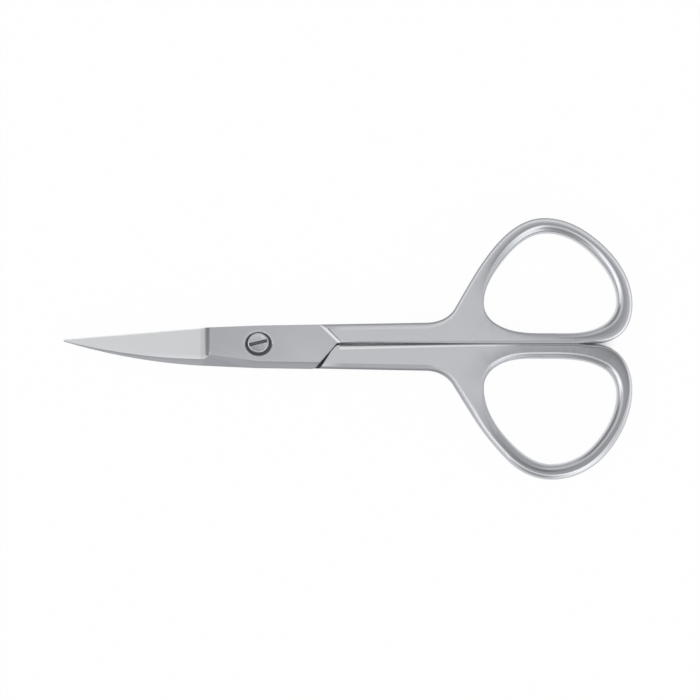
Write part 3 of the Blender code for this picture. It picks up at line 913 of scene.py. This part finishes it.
class HandleBlank:
    """Forged blank of a half: its plan at full thickness, with its rims rounded off."""

    def __init__(self, half: HalfSizes) -> None:
        """Draws the blank's two outlines.

        Args:
            half: Sizes of the half.
        """
        self.half = half
        self.hole = Outline()
        self.outer = Outline()
        self.draw_hole()
        self.draw_outer()

    def edge_height(self, heights: Heights, reach: float) -> float:
        """Distance of a body edge from the slit line.

        Args:
            heights: The edge's heights at root, pivot and shank.
            reach: Distance along the slit line from the pivot.

        Returns:
            The height.
        """
        root, pivot, shank = heights
        if reach < 0:
            return mix(pivot, root, -reach / SIZES.root_reach)
        return mix(pivot, shank, reach / SIZES.shank_length)

    def loop_anchor(self, row: LoopRow, band: float = 0.0, burnish: float = 0.0) -> Anchor:
        """Anchor of one of the finger loop's rims.

        Args:
            row: Shares across and up the hole's box, heading, rim share and polish.
            band: How far the box is grown on each side.
            burnish: Painted highlight on the rim, or painted shade below zero.

        Returns:
            The anchor.
        """
        across, up, heading, rim, polish = row
        half = self.half
        place = Vector((
            SIZES.hole_left - band + (SIZES.hole_length + 2 * band) * across,
            half.hole_start - band + (half.hole_height + 2 * band) * up,
        ))
        return Anchor(place, heading, SIZES.loop_rim.share(rim), polish, burnish)

    def draw_hole(self) -> None:
        """Draws the finger hole, counterclockwise."""
        anchors = [self.loop_anchor(row) for row in self.half.hole_shares]
        first = anchors[0]
        anchors.append(Anchor(first.place, first.heading + 360, first.rim, first.polish))
        self.hole.curve(anchors, LOOP_STEPS)

    def blade_corners(self) -> tuple[Vector, Vector, Vector]:
        """Finds the blade's main points.

        Returns:
            Root corners at the cutting side and at the back, and the middle of the tip.
        """
        half = self.half
        tip_side = 1 if half.side is Side.FRONT else -1
        cut_root = Vector((-SIZES.root_reach, half.cut_heights[0] - half.inset))
        back_root = Vector((-SIZES.root_reach, half.inset - half.back_heights[0]))
        reach = half.inset + SIZES.tip_radius - SIZES.blade_reach
        return cut_root, back_root, Vector((reach, SIZES.tip_height * tip_side))

    def blade_back(self) -> list[Anchor]:
        """Finds the line of the blade's back.

        Returns:
            Anchors from the tip to the root.
        """
        _, back_root, tip = self.blade_corners()
        bottom = tip - Vector((0.0, SIZES.tip_radius))
        chord = back_root - bottom
        heading = math.degrees(math.atan2(chord.y, chord.x))
        bulge = self.half.back_bulge
        return [Anchor(bottom, heading - bulge), Anchor(back_root, heading + bulge)]

    def back_points(self) -> tuple[Vector, Vector]:
        """Finds the line of the plate's back.

        Returns:
            Its points beside the pivot and at the end of the plate.
        """
        half = self.half
        reach = half.back_diagonal.reach - half.back_diagonal.run
        end = Vector((reach, half.inset - self.edge_height(half.back_heights, reach)))
        return Vector((0.0, half.inset - half.back_heights[1])), end

    def draw_outer(self) -> None:
        """Draws the whole half, counterclockwise from the blade's root."""
        half = self.half
        outer = self.outer
        cut_root, back_root, tip = self.blade_corners()
        up = Vector((0.0, SIZES.tip_radius))
        front = Vector((tip.x - SIZES.tip_radius, tip.y))
        outer.line(cut_root, tip + up)
        outer.curve([Anchor(tip + up, 180), Anchor(front, 270), Anchor(tip - up, 360)], BODY_STEPS)
        outer.curve(self.blade_back(), LOOP_STEPS)
        back_mid, back_end = self.back_points()
        slope = half.back_diagonal.run / -back_end.y
        near = SIZES.slit_side
        apex = Vector((half.back_diagonal.reach + near * slope, near))
        before = back_end + (back_mid - back_end).normalized() * SIZES.corner_break
        after = back_end + (apex - back_end).normalized() * SIZES.corner_break
        corners = (back_root, back_mid, before, after, apex)
        for start, end in zip(corners, corners[1:]):
            outer.line(start, end)
        slit = [Anchor(apex, 0, half.slit_rim, 0.0, half.slit_painted_light)]
        band = SIZES.loop_band
        for across, side, rim, polish, burnish in half.slit_rows:
            place = Vector((self.loop_anchor((across, 0, 0, 0, 0), band).place.x, side))
            slit.append(Anchor(place, 0, rim, polish, burnish))
        outer.curve(slit, BODY_STEPS)
        shank_end = Vector((SIZES.shank_length, half.cut_heights[2]))
        shank_mid = Vector((0.0, half.cut_heights[1] - half.inset))
        slope = math.degrees(math.atan2(shank_end.y - shank_mid.y, shank_end.x))
        rim = SIZES.shank_rim
        loop = [self.loop_anchor(row, band, half.loop_painted_light) for row in half.loop_shares]
        end = Anchor(shank_end, 180 + slope, rim, 0.0, half.shank_painted_light)
        outer.curve([slit[-1], *loop, end], LOOP_STEPS)
        outer.line(shank_end, shank_mid, (rim, rim), half.shank_painted_light)
        outer.line(shank_mid, cut_root, (rim, SHARP))

    def metal_behind(self, place: Vector, normal: Vector) -> float:
        """Distance from a rim, through the metal, to the next rim of the plan.

        Args:
            place: Point on a rim.
            normal: Direction into the metal.

        Returns:
            The distance.
        """
        far = place + normal * SIZES.handle_reach
        nearest = SIZES.handle_reach
        for outline in (self.outer, self.hole):
            for start, end in around(outline.places):
                if min((start - place).length, (end - place).length) < SIZES.ride_gap:
                    continue
                hit = geometry.intersect_line_line_2d(place, far, start, end)
                if hit is not None:
                    nearest = min(nearest, (hit - place).length)
        return nearest

    def rim_columns(
        self, bm: BMesh, outline: Outline, side: int, rim_limit: float,
    ) -> list[list]:
        """Columns of vertices that round a rim off, from its edge to the flat face.

        Args:
            bm: Mesh that takes the vertices.
            outline: The rim's plan.
            side: 1 where the metal lies left of the outline, -1 where it lies right.
            rim_limit: Largest share of the metal behind the rim that its rounding takes.

        Returns:
            A column for each point of the outline.
        """
        polish_layer = bm.verts.layers.float[POLISH_LAYER]
        painted_light_layer = bm.verts.layers.float[EDGE_LIGHT_LAYER]
        columns = []
        for place, normal, rim, (polish, burnish) in zip(
            outline.places, outline.normals(side), outline.rims, outline.finish,
        ):
            rows = ROUND_ROWS if rim.width > 0 else 0
            limit = rim_limit * self.metal_behind(place, normal) if rows else 0
            share = min(1.0, limit / rim.width) if rows else 0
            column = []
            for row in range(rows + 1):
                angle = math.pi / 2 * row / ROUND_ROWS if rows else math.pi / 2
                reach = rim.width * share * (1 - math.cos(angle))
                drop = rim.depth * share * (1 - math.sin(angle))
                vert = bm.verts.new((*(place + normal * reach), SIZES.half_thickness - drop))
                vert[polish_layer] = polish
                # Painted edge light: a highlight on the outer rows, painted shade on all rows
                # below zero
                crest = burnish < 0 or row > rows * SIZES.painted_light_rows_share
                vert[painted_light_layer] = burnish if crest and row < rows else 0.0
                column.append(vert)
            columns.append(column if rows else column * (ROUND_ROWS + 1))
        return columns

    def add_skin(self, bm: BMesh, columns: list[list]) -> None:
        """Adds the faces of a rounded rim.

        Args:
            bm: Mesh that takes the faces.
            columns: The rim's columns of vertices.
        """
        for here, there in around(columns):
            for row in range(ROUND_ROWS):
                corners = [here[row], there[row], there[row + 1], here[row + 1]]
                corners = [c for index, c in enumerate(corners) if c is not corners[index - 1]]
                if len(corners) > 2:
                    bm.faces.new(corners)

    def add_lid(self, bm: BMesh, rims: list[list[list]]) -> None:
        """Adds the flat face between the rims.

        Args:
            bm: Mesh that takes the triangles.
            rims: The columns of each rim, whose last vertices lie on the face.
        """
        flat = []
        borders = []
        for columns in rims:
            borders.append(list(range(len(flat), len(flat) + len(columns))))
            flat += [column[-1] for column in columns]
        places = [corner.co.xy for corner in flat]
        filled = geometry.delaunay_2d_cdt(places, [], borders, INSIDE, WELD)
        _, _, triangles, corners, _, around = filled
        for triangle, borders_around in zip(triangles, around):
            if len(borders_around) == 1:
                bm.faces.new([flat[corners[index][0]] for index in triangle])

    def mesh(self) -> BMesh:
        """Makes the blank.

        Returns:
            Its closed mesh, with the polish and painted edge light of each vertex. The walls of
            the slit and of the plate's end have finish 1, painted dark as shade between the
            halves.
        """
        bm = bmesh.new()
        bm.verts.layers.float.new(POLISH_LAYER)
        bm.verts.layers.float.new(EDGE_LIGHT_LAYER)
        rims = [
            self.rim_columns(bm, self.outer, 1, self.half.loop_rim_limit),
            self.rim_columns(bm, self.hole, -1, self.half.hole_rim_limit),
        ]
        for columns in rims:
            self.add_skin(bm, columns)
        self.add_lid(bm, rims)
        upper = list(bm.verts)
        copied = bmesh.ops.duplicate(bm, geom=upper + list(bm.edges) + list(bm.faces))
        twins = copied["vert_map"]
        for vert in upper:
            twins[vert].co.z = -vert.co.z
        shaded_from = self.back_points()[1].x - SIZES.corner_break
        slit_top = SIZES.slit_side + SIZES.ride_gap / 2
        for columns in rims:
            for here, there in around(columns):
                wall = bm.faces.new([here[0], there[0], twins[there[0]], twins[here[0]]])
                corners = (here[0].co, there[0].co)
                # Walls of the slit and of the plate's end take painted shade
                shaded = all(co.x > shaded_from and co.y < slit_top for co in corners)
                wall.material_index = int(shaded)
        bmesh.ops.recalc_face_normals(bm, faces=list(bm.faces))
        return bm


class GroundFaces:
    """What grinding takes off the blank: lap, outer faces, blade, bevels."""

    def __init__(self, blank: HandleBlank) -> None:
        """Grinds the half that has this blank."""
        self.blank = blank
        self.half = blank.half

    def shoulder_section(self, offset: float, level: float, taper: float = 0.0) -> list[tuple]:
        """Plan of all that lies on the blade's side of the shank's diagonal.

        Args:
            offset: Distance of the plan's edge from the diagonal.
            level: Height of the plan.
            taper: How much more the distance is at the shank's side edge, from the knee on.

        Returns:
            The plan's corners.
        """
        diagonal = self.half.cut_diagonal
        reach = diagonal.reach - diagonal.run
        height = self.blank.edge_height(self.half.cut_heights, reach)
        slope = diagonal.run / height
        shift = offset * math.hypot(1, slope)
        width = max(*LOWER_HEIGHTS, *UPPER_HEIGHTS) + SIZES.overrun
        left = -SIZES.blade_reach - SIZES.overrun
        knee = SIZES.shoulder_knee_share * height
        widened = taper * (width - knee) / (height - knee)
        return [
            (diagonal.reach + shift + widened - width * slope, width, level),
            (left, width, level),
            (left, -width, level),
            (diagonal.reach + shift + width * slope, -width, level),
            (diagonal.reach + shift - knee * slope, knee, level),
        ]

    def lap(self) -> BMesh:
        """Space of the other half's plate and blade, with the chamfer of the shoulder.

        Returns:
            Mesh of what is ground off. The shoulder's wall and the strip of floor beside it have
            finish 1, painted dark as shade between the halves.
        """
        spread = SIZES.shoulder_chamfer * (1 + SIZES.overrun / SIZES.face_relief)
        foot = SIZES.face_relief - SIZES.half_thickness
        gap = SIZES.shoulder_gap
        taper = SIZES.shoulder_taper
        bm = loft([
            self.shoulder_section(gap + spread, -SIZES.half_thickness - SIZES.overrun, taper),
            self.shoulder_section(gap, foot, taper),
            self.shoulder_section(gap, SIZES.inner_face, taper),
        ])
        # The strip of floor beside the shoulder takes painted shade
        strip = self.shoulder_section(gap - SIZES.shaded_strip, SIZES.inner_face)
        edge = Vector(strip[0]) - Vector(strip[3])
        beyond = Vector((edge.y, -edge.x, 0.0))
        bmesh.ops.bisect_plane(
            bm, geom=list(bm.verts) + list(bm.edges) + list(bm.faces), plane_co=strip[0],
            plane_no=beyond,
        )
        for face in bm.faces:
            middle = face.calc_center_median()
            past = (middle - Vector(strip[0])).dot(beyond) > 0
            face.material_index = int(past and middle.z > foot)
        return bm

    def shank_corner(self) -> BMesh:
        """Corner of the shank that is taken off where the shoulder meets the slit.

        Returns:
            Mesh of what is ground off.
        """
        *_, high, knee = (Vector(c) for c in self.shoulder_section(SIZES.shoulder_gap, 0.0))
        line = high - knee
        up, along = SIZES.shank_corner
        start = knee + line * ((up - knee.y) / line.y)
        end = knee + line * ((SIZES.slit_side - knee.y) / line.y)
        end.x += along
        far = SIZES.overrun
        plan = [
            start, start - Vector((far, 0, 0)), start - Vector((far, far + up, 0)),
            Vector((end.x + far, start.y - far - up, 0)), end + Vector((far, 0, 0)), end,
        ]
        levels = (-SIZES.half_thickness - far, SIZES.inner_face)
        return loft([[(corner.x, corner.y, level) for corner in plan] for level in levels])

    def outer_face(self) -> BMesh:
        """Metal over the outer face of plate and blade, up to the diagonal step.

        Returns:
            Mesh of what is ground off. The step's own face has finish 1.
        """
        spread = SIZES.step_chamfer * (1 + SIZES.overrun / SIZES.face_relief)
        bm = loft([
            self.shoulder_section(0, SIZES.plate_face),
            self.shoulder_section(spread, SIZES.half_thickness + SIZES.overrun),
        ])
        for face in bm.faces:
            face.material_index = int(abs(face.normal.z) < STEP_FACING)
        return bm

    def step_hollow(self) -> BMesh:
        """Shallow hollow that sinks away behind the step's crest.

        Returns:
            Mesh of what is ground off.
        """
        crest = SIZES.step_chamfer
        top = SIZES.half_thickness
        rise = SIZES.overrun * (SIZES.hollow_depth / SIZES.hollow_width)
        inner = self.shoulder_section(
            crest + SIZES.hollow_width / 2, top - SIZES.hollow_depth, SIZES.hollow_width,
        )
        outer = self.shoulder_section(crest - SIZES.overrun, top + rise)
        roof = top + 2 * rise
        # The diagonal's corners, from the side edge past the knee to the far end
        return loft([
            [inner[index], outer[index], (*outer[index][:2], roof), (*inner[index][:2], roof)]
            for index in (0, 4, 3)
        ])

    def blade_level(self, place: Vector) -> float:
        """Height of the blade's ground face.

        Args:
            place: Point of the plan.

        Returns:
            The height over the plane where the halves meet.
        """
        cut_root, back_root, tip = self.blank.blade_corners()
        edge = SIZES.blade_edge_thickness
        across = (SIZES.blade_back_thickness - edge) / (cut_root.y - back_root.y)
        at_tip_height = edge + across * (cut_root.y - tip.y)
        along = (at_tip_height - SIZES.blade_tip_thickness) / (cut_root.x - tip.x)
        thickness = edge + across * (cut_root.y - place.y)
        return SIZES.inner_face + thickness + along * (place.x - cut_root.x)

    def blade(self) -> BMesh:
        """Metal over the blade's outer face, with the cove left by the wheel.

        Returns:
            Mesh of what is ground off. The cove has finish 1.
        """
        cut_root, back_root, _ = self.blank.blade_corners()
        left = -SIZES.blade_reach - SIZES.overrun
        top = SIZES.half_thickness + SIZES.overrun
        sections = []
        for index in range(COVE_SECTIONS + 1):
            share = index / COVE_SECTIONS
            side = mix(back_root.y - SIZES.overrun, cut_root.y + SIZES.overrun, share)
            lip_level = self.blade_level(Vector((-SIZES.cove_lip, side)))
            rise = max(SIZES.plate_face - lip_level, 0) + SIZES.cove_overrun
            section = [(left, side, top), (left, side, self.blade_level(Vector((left, side))))]
            for step in range(COVE_STEPS + 1):
                climbed = step / COVE_STEPS
                place = Vector((SIZES.cove_run * (climbed - 1) - SIZES.cove_lip, side))
                climb = rise * climbed ** 2 * (3 - 2 * climbed)
                section.append((*place, self.blade_level(place) + climb))
            section.append((-SIZES.cove_lip, side, top))
            sections.append(section)
        bm = loft(sections)
        for face in bm.faces:
            middle = face.calc_center_median()
            face.material_index = int(middle.z > self.blade_level(middle) + LEVEL_TOLERANCE)
        return bm

    def bevel(
        self, path: list[Vector], widths: list[float],
        depth_of: Callable[[Vector, Vector, float], tuple[float, float]],
    ) -> BMesh:
        """Sloping strip ground along an edge: its inner line lies on the face beside it.

        Args:
            path: Points along the edge, with the metal on their left.
            widths: Width of the strip at each point.
            depth_of: Gives the level of the inner line and the strip's depth at the edge, for
                a point of the path, the inward normal there and the width.

        Returns:
            Mesh of what is ground off.
        """
        over = SIZES.overrun
        top = SIZES.half_thickness + over
        sections = []
        for index, (place, width) in enumerate(zip(path, widths)):
            ahead = path[min(index + 1, len(path) - 1)]
            along = (ahead - path[max(index - 1, 0)]).normalized()
            normal = Vector((-along.y, along.x))
            level, depth = depth_of(place, normal, width)
            slope = depth / width
            outer = place - normal * over
            inner = place + normal * (width + over)
            sections.append([
                (*outer, level - depth - slope * over), (*inner, level + slope * over),
                (*inner, top + slope * over), (*outer, top + slope * over),
            ])
        return loft(sections)

    def back_bevel(self) -> BMesh:
        """Bevel along the back of blade and plate.

        Returns:
            Mesh of what is ground off.
        """
        _, back_root, tip = self.blank.blade_corners()
        outline = Outline()
        outline.curve(self.blank.blade_back(), LOOP_STEPS)
        path = outline.places + [back_root, *self.blank.back_points()]
        start = path[0] - (path[1] - path[0]).normalized() * SIZES.overrun
        end = path[-1] + (path[-1] - path[-2]).normalized() * SIZES.overrun
        path = [start] + path + [end]
        full = SIZES.back_bevel

        def depth_of(place: Vector, normal: Vector, width: float) -> tuple[float, float]:
            """Level of the bevel's inner line, and its depth."""
            level = min(SIZES.plate_face, self.blade_level(place + normal * width))
            return level, full.depth * width / full.width

        shares = [min(max((p.x - tip.x) / (back_root.x - tip.x), 0), 1) for p in path]
        widths = [mix(SIZES.tip_bevel_width, full.width, share) for share in shares]
        return self.bevel(path, widths, depth_of)

    def cutting_bevel(self) -> BMesh:
        """Steep bevel that forms the cutting edge, from the tip to the root.

        Returns:
            Mesh of what is ground off.
        """
        cut_root, _, tip = self.blank.blade_corners()
        top = tip + Vector((0.0, SIZES.tip_radius))
        along = (top - cut_root).normalized()
        start = cut_root + along * (SIZES.cove_lip + SIZES.cove_run - SIZES.root_reach)
        end = top + along * SIZES.overrun
        path = [start.lerp(end, step / LOOP_STEPS) for step in range(LOOP_STEPS + 1)]

        def depth_of(place: Vector, normal: Vector, width: float) -> tuple[float, float]:
            """Level of the face at the edge, and the depth down to the cutting land."""
            level = self.blade_level(place)
            return level, level - SIZES.inner_face - SIZES.cutting_land

        return self.bevel(path, [SIZES.cutting_bevel_width] * len(path), depth_of)


@dataclass
class SteelPiece:
    """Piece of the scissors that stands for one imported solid."""

    name: str
    body: str
    material_slot: str
    finishes: dict[str, Material]

    def start(self, blank: BMesh, *skin: str) -> Workpiece:
        """Takes the blank and its finishes to work."""
        return Workpiece(f"{self.name}_steel", blank, self.finishes, *skin)

    def dress(self, item: Object) -> None:
        """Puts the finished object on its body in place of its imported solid.

        Args:
            item: The object.
        """
        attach(item, self.body)
        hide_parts(self.name)


@dataclass
class ScissorHalf(SteelPiece):
    """One half of the scissors: blade, joint plate, shank and finger loop in one piece."""

    half: HalfSizes

    def build(self) -> Object:
        """Makes the half from its blank.

        Returns:
            The half, in its place in the model.
        """
        blank = HandleBlank(self.half)
        ground = GroundFaces(blank)
        work = self.start(blank.mesh(), "handle", "gap")
        # The lap's shoulder takes the gaps' painted shade
        work.cut("lap", ground.lap(), "plate", "gap")
        # The cut corner takes the gaps' painted shade
        work.cut("corner", ground.shank_corner(), "gap")
        # The hollow behind the step takes the bevel's painted shade
        work.cut("hollow", ground.step_hollow(), "bevel")
        # The step's face takes the painted highlight
        work.cut("face", ground.outer_face(), "plate", "bright")
        # The cove takes its painted shade
        work.cut("blade", ground.blade(), "blade", "cove")
        # The back bevel takes its painted shade
        work.cut("back_bevel", ground.back_bevel(), "bevel")
        work.cut("cutting_bevel", ground.cutting_bevel(), "blade")
        self.drill(work)
        return work.settle(self.half.side.place())

    def drill(self, work: Workpiece) -> None:
        """Drills the hole of the half, and the head's recess in the front half.

        Args:
            work: The half at work.
        """
        low = -SIZES.overrun
        high = SIZES.half_thickness + SIZES.overrun
        radius = SIZES.thread_radius + SIZES.thread_clearance
        if self.half.side is Side.FRONT:
            radius = SIZES.shank_radius + SIZES.turning_clearance
            # The recess is painted dark as shade; its lip takes the handle's paler steel, a
            # painted highlight
            work.cut("recess", self.recess(high), "drilled", "handle")
        # The hole's wall takes the gaps' painted shade
        work.cut("hole", turned([(0, low), (radius, low), (radius, high), (0, high)]), "gap")

    def recess(self, high: float) -> BMesh:
        """Recess of the screw's head, with a softly broken lip of finish 1, a painted highlight.

        Args:
            high: Level that the cut reaches up to.

        Returns:
            Mesh of what is cut away.
        """
        lip = SIZES.recess_lip
        radius, across = SIZES.recess_radii
        foot = SIZES.plate_face - lip.depth
        rise = (high - foot) / lip.depth
        bm = turned([
            (0, SIZES.recess_floor), (radius, SIZES.recess_floor), (radius, foot),
            (radius + lip.width * rise, high), (0, high),
        ])
        for face in bm.faces:
            face.material_index = int(foot < face.calc_center_median().z < high)
        bmesh.ops.scale(bm, verts=list(bm.verts), vec=(1.0, across / radius, 1.0))
        return bm


@dataclass
class PivotScrew(SteelPiece):
    """Slotted screw that joins the halves: dished head, turning shank, threaded end."""

    dish: float = 0.07 * MM
    edge_radius: float = 0.15 * MM
    # The head sits off its shank's axis, its face rises a little towards that side, and its
    # rim is worn so that it is less wide than long
    head_shift: tuple[float, float] = (-0.05 * MM, 0.19 * MM)
    head_rise_share: float = 0.03
    head_width_share: float = 0.95
    # Sawn slot: width at its floor and at the head's face
    slot_widths: tuple[float, float] = (0.34 * MM, 0.5 * MM)
    slot_length: float = 2.9 * MM
    slot_depth: float = 0.35 * MM
    slot_turn: float = 14.0
    end_chamfer: float = 0.15 * MM

    @property
    def seat(self) -> float:
        """Level of the head's underside."""
        return SIZES.recess_floor + SIZES.seat_gap

    @property
    def rim_level(self) -> float:
        """Level of the head's face at its rim."""
        return self.seat + SIZES.head_height

    def profile(self) -> list[tuple[float, float]]:
        """Outline of the turned screw, from the threaded end to the head's face.

        Returns:
            Radius and level of each point.
        """
        end = SIZES.thread_sink - SIZES.plate_face
        shoulder = SIZES.seat_gap - SIZES.inner_face
        points = [
            (0.0, end),
            (SIZES.thread_radius - self.end_chamfer, end),
            (SIZES.thread_radius, end + self.end_chamfer),
            (SIZES.thread_radius, shoulder),
            (SIZES.shank_radius, shoulder),
            (SIZES.shank_radius, self.seat),
            (SIZES.head_radius, self.seat),
        ]
        edge = self.edge_radius
        inner = SIZES.head_radius - edge
        for step in range(ARC_STEPS + 1):
            angle = math.radians(90 * step / ARC_STEPS)
            level = self.rim_level - edge + edge * math.sin(angle)
            points.append((inner + edge * math.cos(angle), level))
        for row in range(1, ROUND_ROWS + 1):
            share = 1 - row / ROUND_ROWS
            points.append((inner * share, self.rim_level - self.dish * (1 - share ** 2)))
        return points

    def slot_cutter(self) -> BMesh:
        """Block that saws the slot.

        Returns:
            Mesh of what is cut away.
        """
        floor, top = (width / 2 for width in self.slot_widths)
        low = self.rim_level - self.dish - self.slot_depth
        high = self.rim_level - self.dish + self.slot_depth
        corners = ((-floor, low), (floor, low), (2 * top - floor, high), (floor - 2 * top, high))
        ends = (-self.slot_length / 2, self.slot_length / 2)
        bm = loft([[(end, *corner) for corner in corners] for end in ends])
        turn = Matrix.Rotation(math.radians(self.slot_turn), 4, "Z")
        shift = Matrix.Translation((*self.head_shift, 0))
        bmesh.ops.transform(bm, matrix=shift @ turn, verts=list(bm.verts))
        return bm

    def blank(self) -> BMesh:
        """Turned screw, with its head set off the axis.

        Returns:
            The screw's mesh.
        """
        bm = turned(self.profile())
        foot = self.seat + SIZES.seat_gap
        neck = (SIZES.shank_radius + SIZES.head_radius) / 2
        for vert in bm.verts:
            if vert.co.z > foot:
                vert.co.z += vert.co.y * self.head_rise_share
            if vert.co.z > foot or vert.co.xy.length > neck:
                vert.co.x += self.head_shift[0]
                vert.co.y = vert.co.y * self.head_width_share + self.head_shift[1]
        return bm

    def build(self) -> Object:
        """Makes the screw.

        Returns:
            The screw, in its place in the model.
        """
        work = self.start(self.blank(), "screw")
        # The slot is painted dark as shade
        work.cut("slot", self.slot_cutter(), "drilled")
        return work.settle(Side.FRONT.place())


@dataclass(frozen=True)
class Panel:
    """Soft patch of light or shade in the tent round the scissors.

    The tilt is from straight overhead and the azimuth counterclockwise from +X, in degrees.
    The patch is full up to its spread and has faded out at the spread and the fade together.
    """

    azimuth: float
    tilt: float
    spread: float
    fade: float
    level: float

    def axis(self) -> Vector:
        """Unit vector towards the patch."""
        azimuth, tilt = math.radians(self.azimuth), math.radians(self.tilt)
        across = math.sin(tilt)
        return Vector((across * math.cos(azimuth), across * math.sin(azimuth), math.cos(tilt)))


@dataclass
class Studio:
    """Pale floor, light tent and camera."""

    base_level: float = 0.88
    # Azimuth, tilt, spread, fade and level of each
    panels: tuple[Panel, ...] = (
        # Light: soft boxes at the lower left and lower right, and the bright room at the right
        Panel(209, 40, 8, 11, 0.90),
        Panel(192, 62, 8, 12, 0.60),
        Panel(230, 19, 3, 8, 0.50),
        Panel(302, 27, 7, 8, 0.80),
        Panel(305, 52, 8, 12, 0.55),
        Panel(300, 85, 14, 14, 0.55),
        Panel(0, 75, 12, 24, 0.35),
        # Shade: the dark room beyond the boxes, and the camera and its holder overhead
        Panel(0, 0, 8, 10, -0.34),
        Panel(255, 48, 11, 12, -0.40),
        Panel(255, 75, 9, 14, -0.28),
        Panel(145, 72, 16, 20, -0.50),
        Panel(40, 24, 10, 12, -0.45),
        Panel(50, 62, 14, 20, -0.28),
        Panel(95, 24, 7, 10, -0.28),
        Panel(90, 78, 12, 20, -0.18),
        Panel(330, 36, 5, 10, -0.25),
    )
    floor_size: float = 8.0
    floor_drop: float = 0.01 * MM
    floor_glow: float = 0.97
    # In gaps this deep the floor glows less, the less of the sky they let in: not at all up to
    # the first share of it, and fully from the second on
    gap_reach: float = 4 * MM
    gap_shares: tuple[float, float] = (0.05, 0.35)
    gap_rays: int = 8
    floor_colour: str = "#FFFFFF"
    aim: tuple[float, float] = (0.35 * MM, -0.17 * MM)
    frame_width: float = 110.9 * MM
    camera_distance: float = 0.6
    sensor_width: float = 36.0
    # The camera sees from and up to the distance divided and multiplied by this
    clip_factor: float = 10.0

    def camera(self) -> None:
        """Sets the camera straight above the scissors, far off, so that all looks flat."""
        data = bpy.data.cameras.new("camera")
        data.sensor_width = self.sensor_width
        data.lens = self.sensor_width * self.camera_distance / self.frame_width
        data.clip_start = self.camera_distance / self.clip_factor
        data.clip_end = self.camera_distance * self.clip_factor
        item = bpy.data.objects.new("camera", data)
        item.location = (*self.aim, PIVOT.z + self.camera_distance)
        bpy.context.scene.collection.objects.link(item)
        bpy.context.scene.camera = item

    def floor(self) -> None:
        """Lays the white floor, which glows to the eye and keeps a faint shadow.

        It glows where it is seen direct, in metal or in glass.
        """
        material = bpy.data.materials.new("white_floor")
        material.use_nodes = True
        nodes = material.node_tree.nodes
        nodes.remove(nodes["Principled BSDF"])
        graph = Graph(material.node_tree)
        rays = graph.add_node("LightPath").outputs
        direct = graph.compute("MAXIMUM", rays["Is Camera Ray"], rays["Is Glossy Ray"])
        seen = graph.compute("MAXIMUM", direct, rays["Is Transmission Ray"])
        sky = graph.add_node(
            "AmbientOcclusion", {"Distance": self.gap_reach}, samples=self.gap_rays,
        )
        lit = graph.rescale(sky.outputs["AO"], self.gap_shares, (0.0, self.floor_glow))
        card = graph.add_node("BsdfDiffuse", {"Color": linear(self.floor_colour)})
        light = graph.add_node("Emission", {"Strength": 1.0})
        glow = graph.compute("MULTIPLY", seen, lit)
        mixed = graph.add_node("MixShader", {0: glow, 1: card.outputs[0], 2: light.outputs[0]})
        graph.fill(nodes["Material Output"], {"Surface": mixed.outputs[0]})
        bm = bmesh.new()
        bmesh.ops.create_grid(bm, x_segments=2, y_segments=2, size=self.floor_size / 2)
        floor = add_object("floor", bm, material)
        floor.location.z = CAD_BOX[0].z - self.floor_drop

    def tent(self) -> None:
        """Lights the scissors with an even tent that has softer and brighter patches."""
        world = bpy.data.worlds.new("light_tent")
        bpy.context.scene.world = world
        world.use_nodes = True
        graph = Graph(world.node_tree)
        direction = graph.place("Generated")
        total = self.base_level
        for panel in self.panels:
            facing = graph.add_node(
                "VectorMath", {0: direction, 1: panel.axis()}, operation="DOT_PRODUCT",
            )
            outer, inner = panel.spread + panel.fade, panel.spread
            edges = tuple(math.cos(math.radians(angle)) for angle in (outer, inner))
            patch = graph.rescale(
                facing.outputs["Value"], edges, (0.0, panel.level), "SMOOTHSTEP",
            )
            total = graph.compute("ADD", total, patch)
        camera_ray = graph.add_node("LightPath").outputs["Is Camera Ray"]
        graph.fill(world.node_tree.nodes["Background"], {
            "Color": (1.0, 1.0, 1.0, 1.0), "Strength": graph.blend(camera_ray, total, 1.0),
        })

    def build(self) -> None:
        """Makes camera, floor and light."""
        self.camera()
        self.floor()
        self.tent()
        bpy.context.scene.view_settings.view_transform = "Standard"


def main() -> None:
    """Builds the studio, both halves and the screw, and reports each piece."""
    logging.basicConfig(level=logging.INFO, format="%(name)s: %(message)s")
    Studio().build()
    finishes = {name: finish.material() for name, finish in FINISHES.items()}
    pieces = (
        ScissorHalf("front_half", "front_assembly", "front_steel", finishes, FRONT_SIZES),
        ScissorHalf("rear_half", "rear_assembly", "rear_steel", finishes, REAR_SIZES),
        PivotScrew("pivot_screw", "rear_assembly", "screw_steel", finishes),
    )
    for piece in pieces:
        item = piece.build()
        piece.dress(item)
        log.info("%s: %d faces", item.name, len(item.data.polygons))


if __name__ == "__main__":
    main()
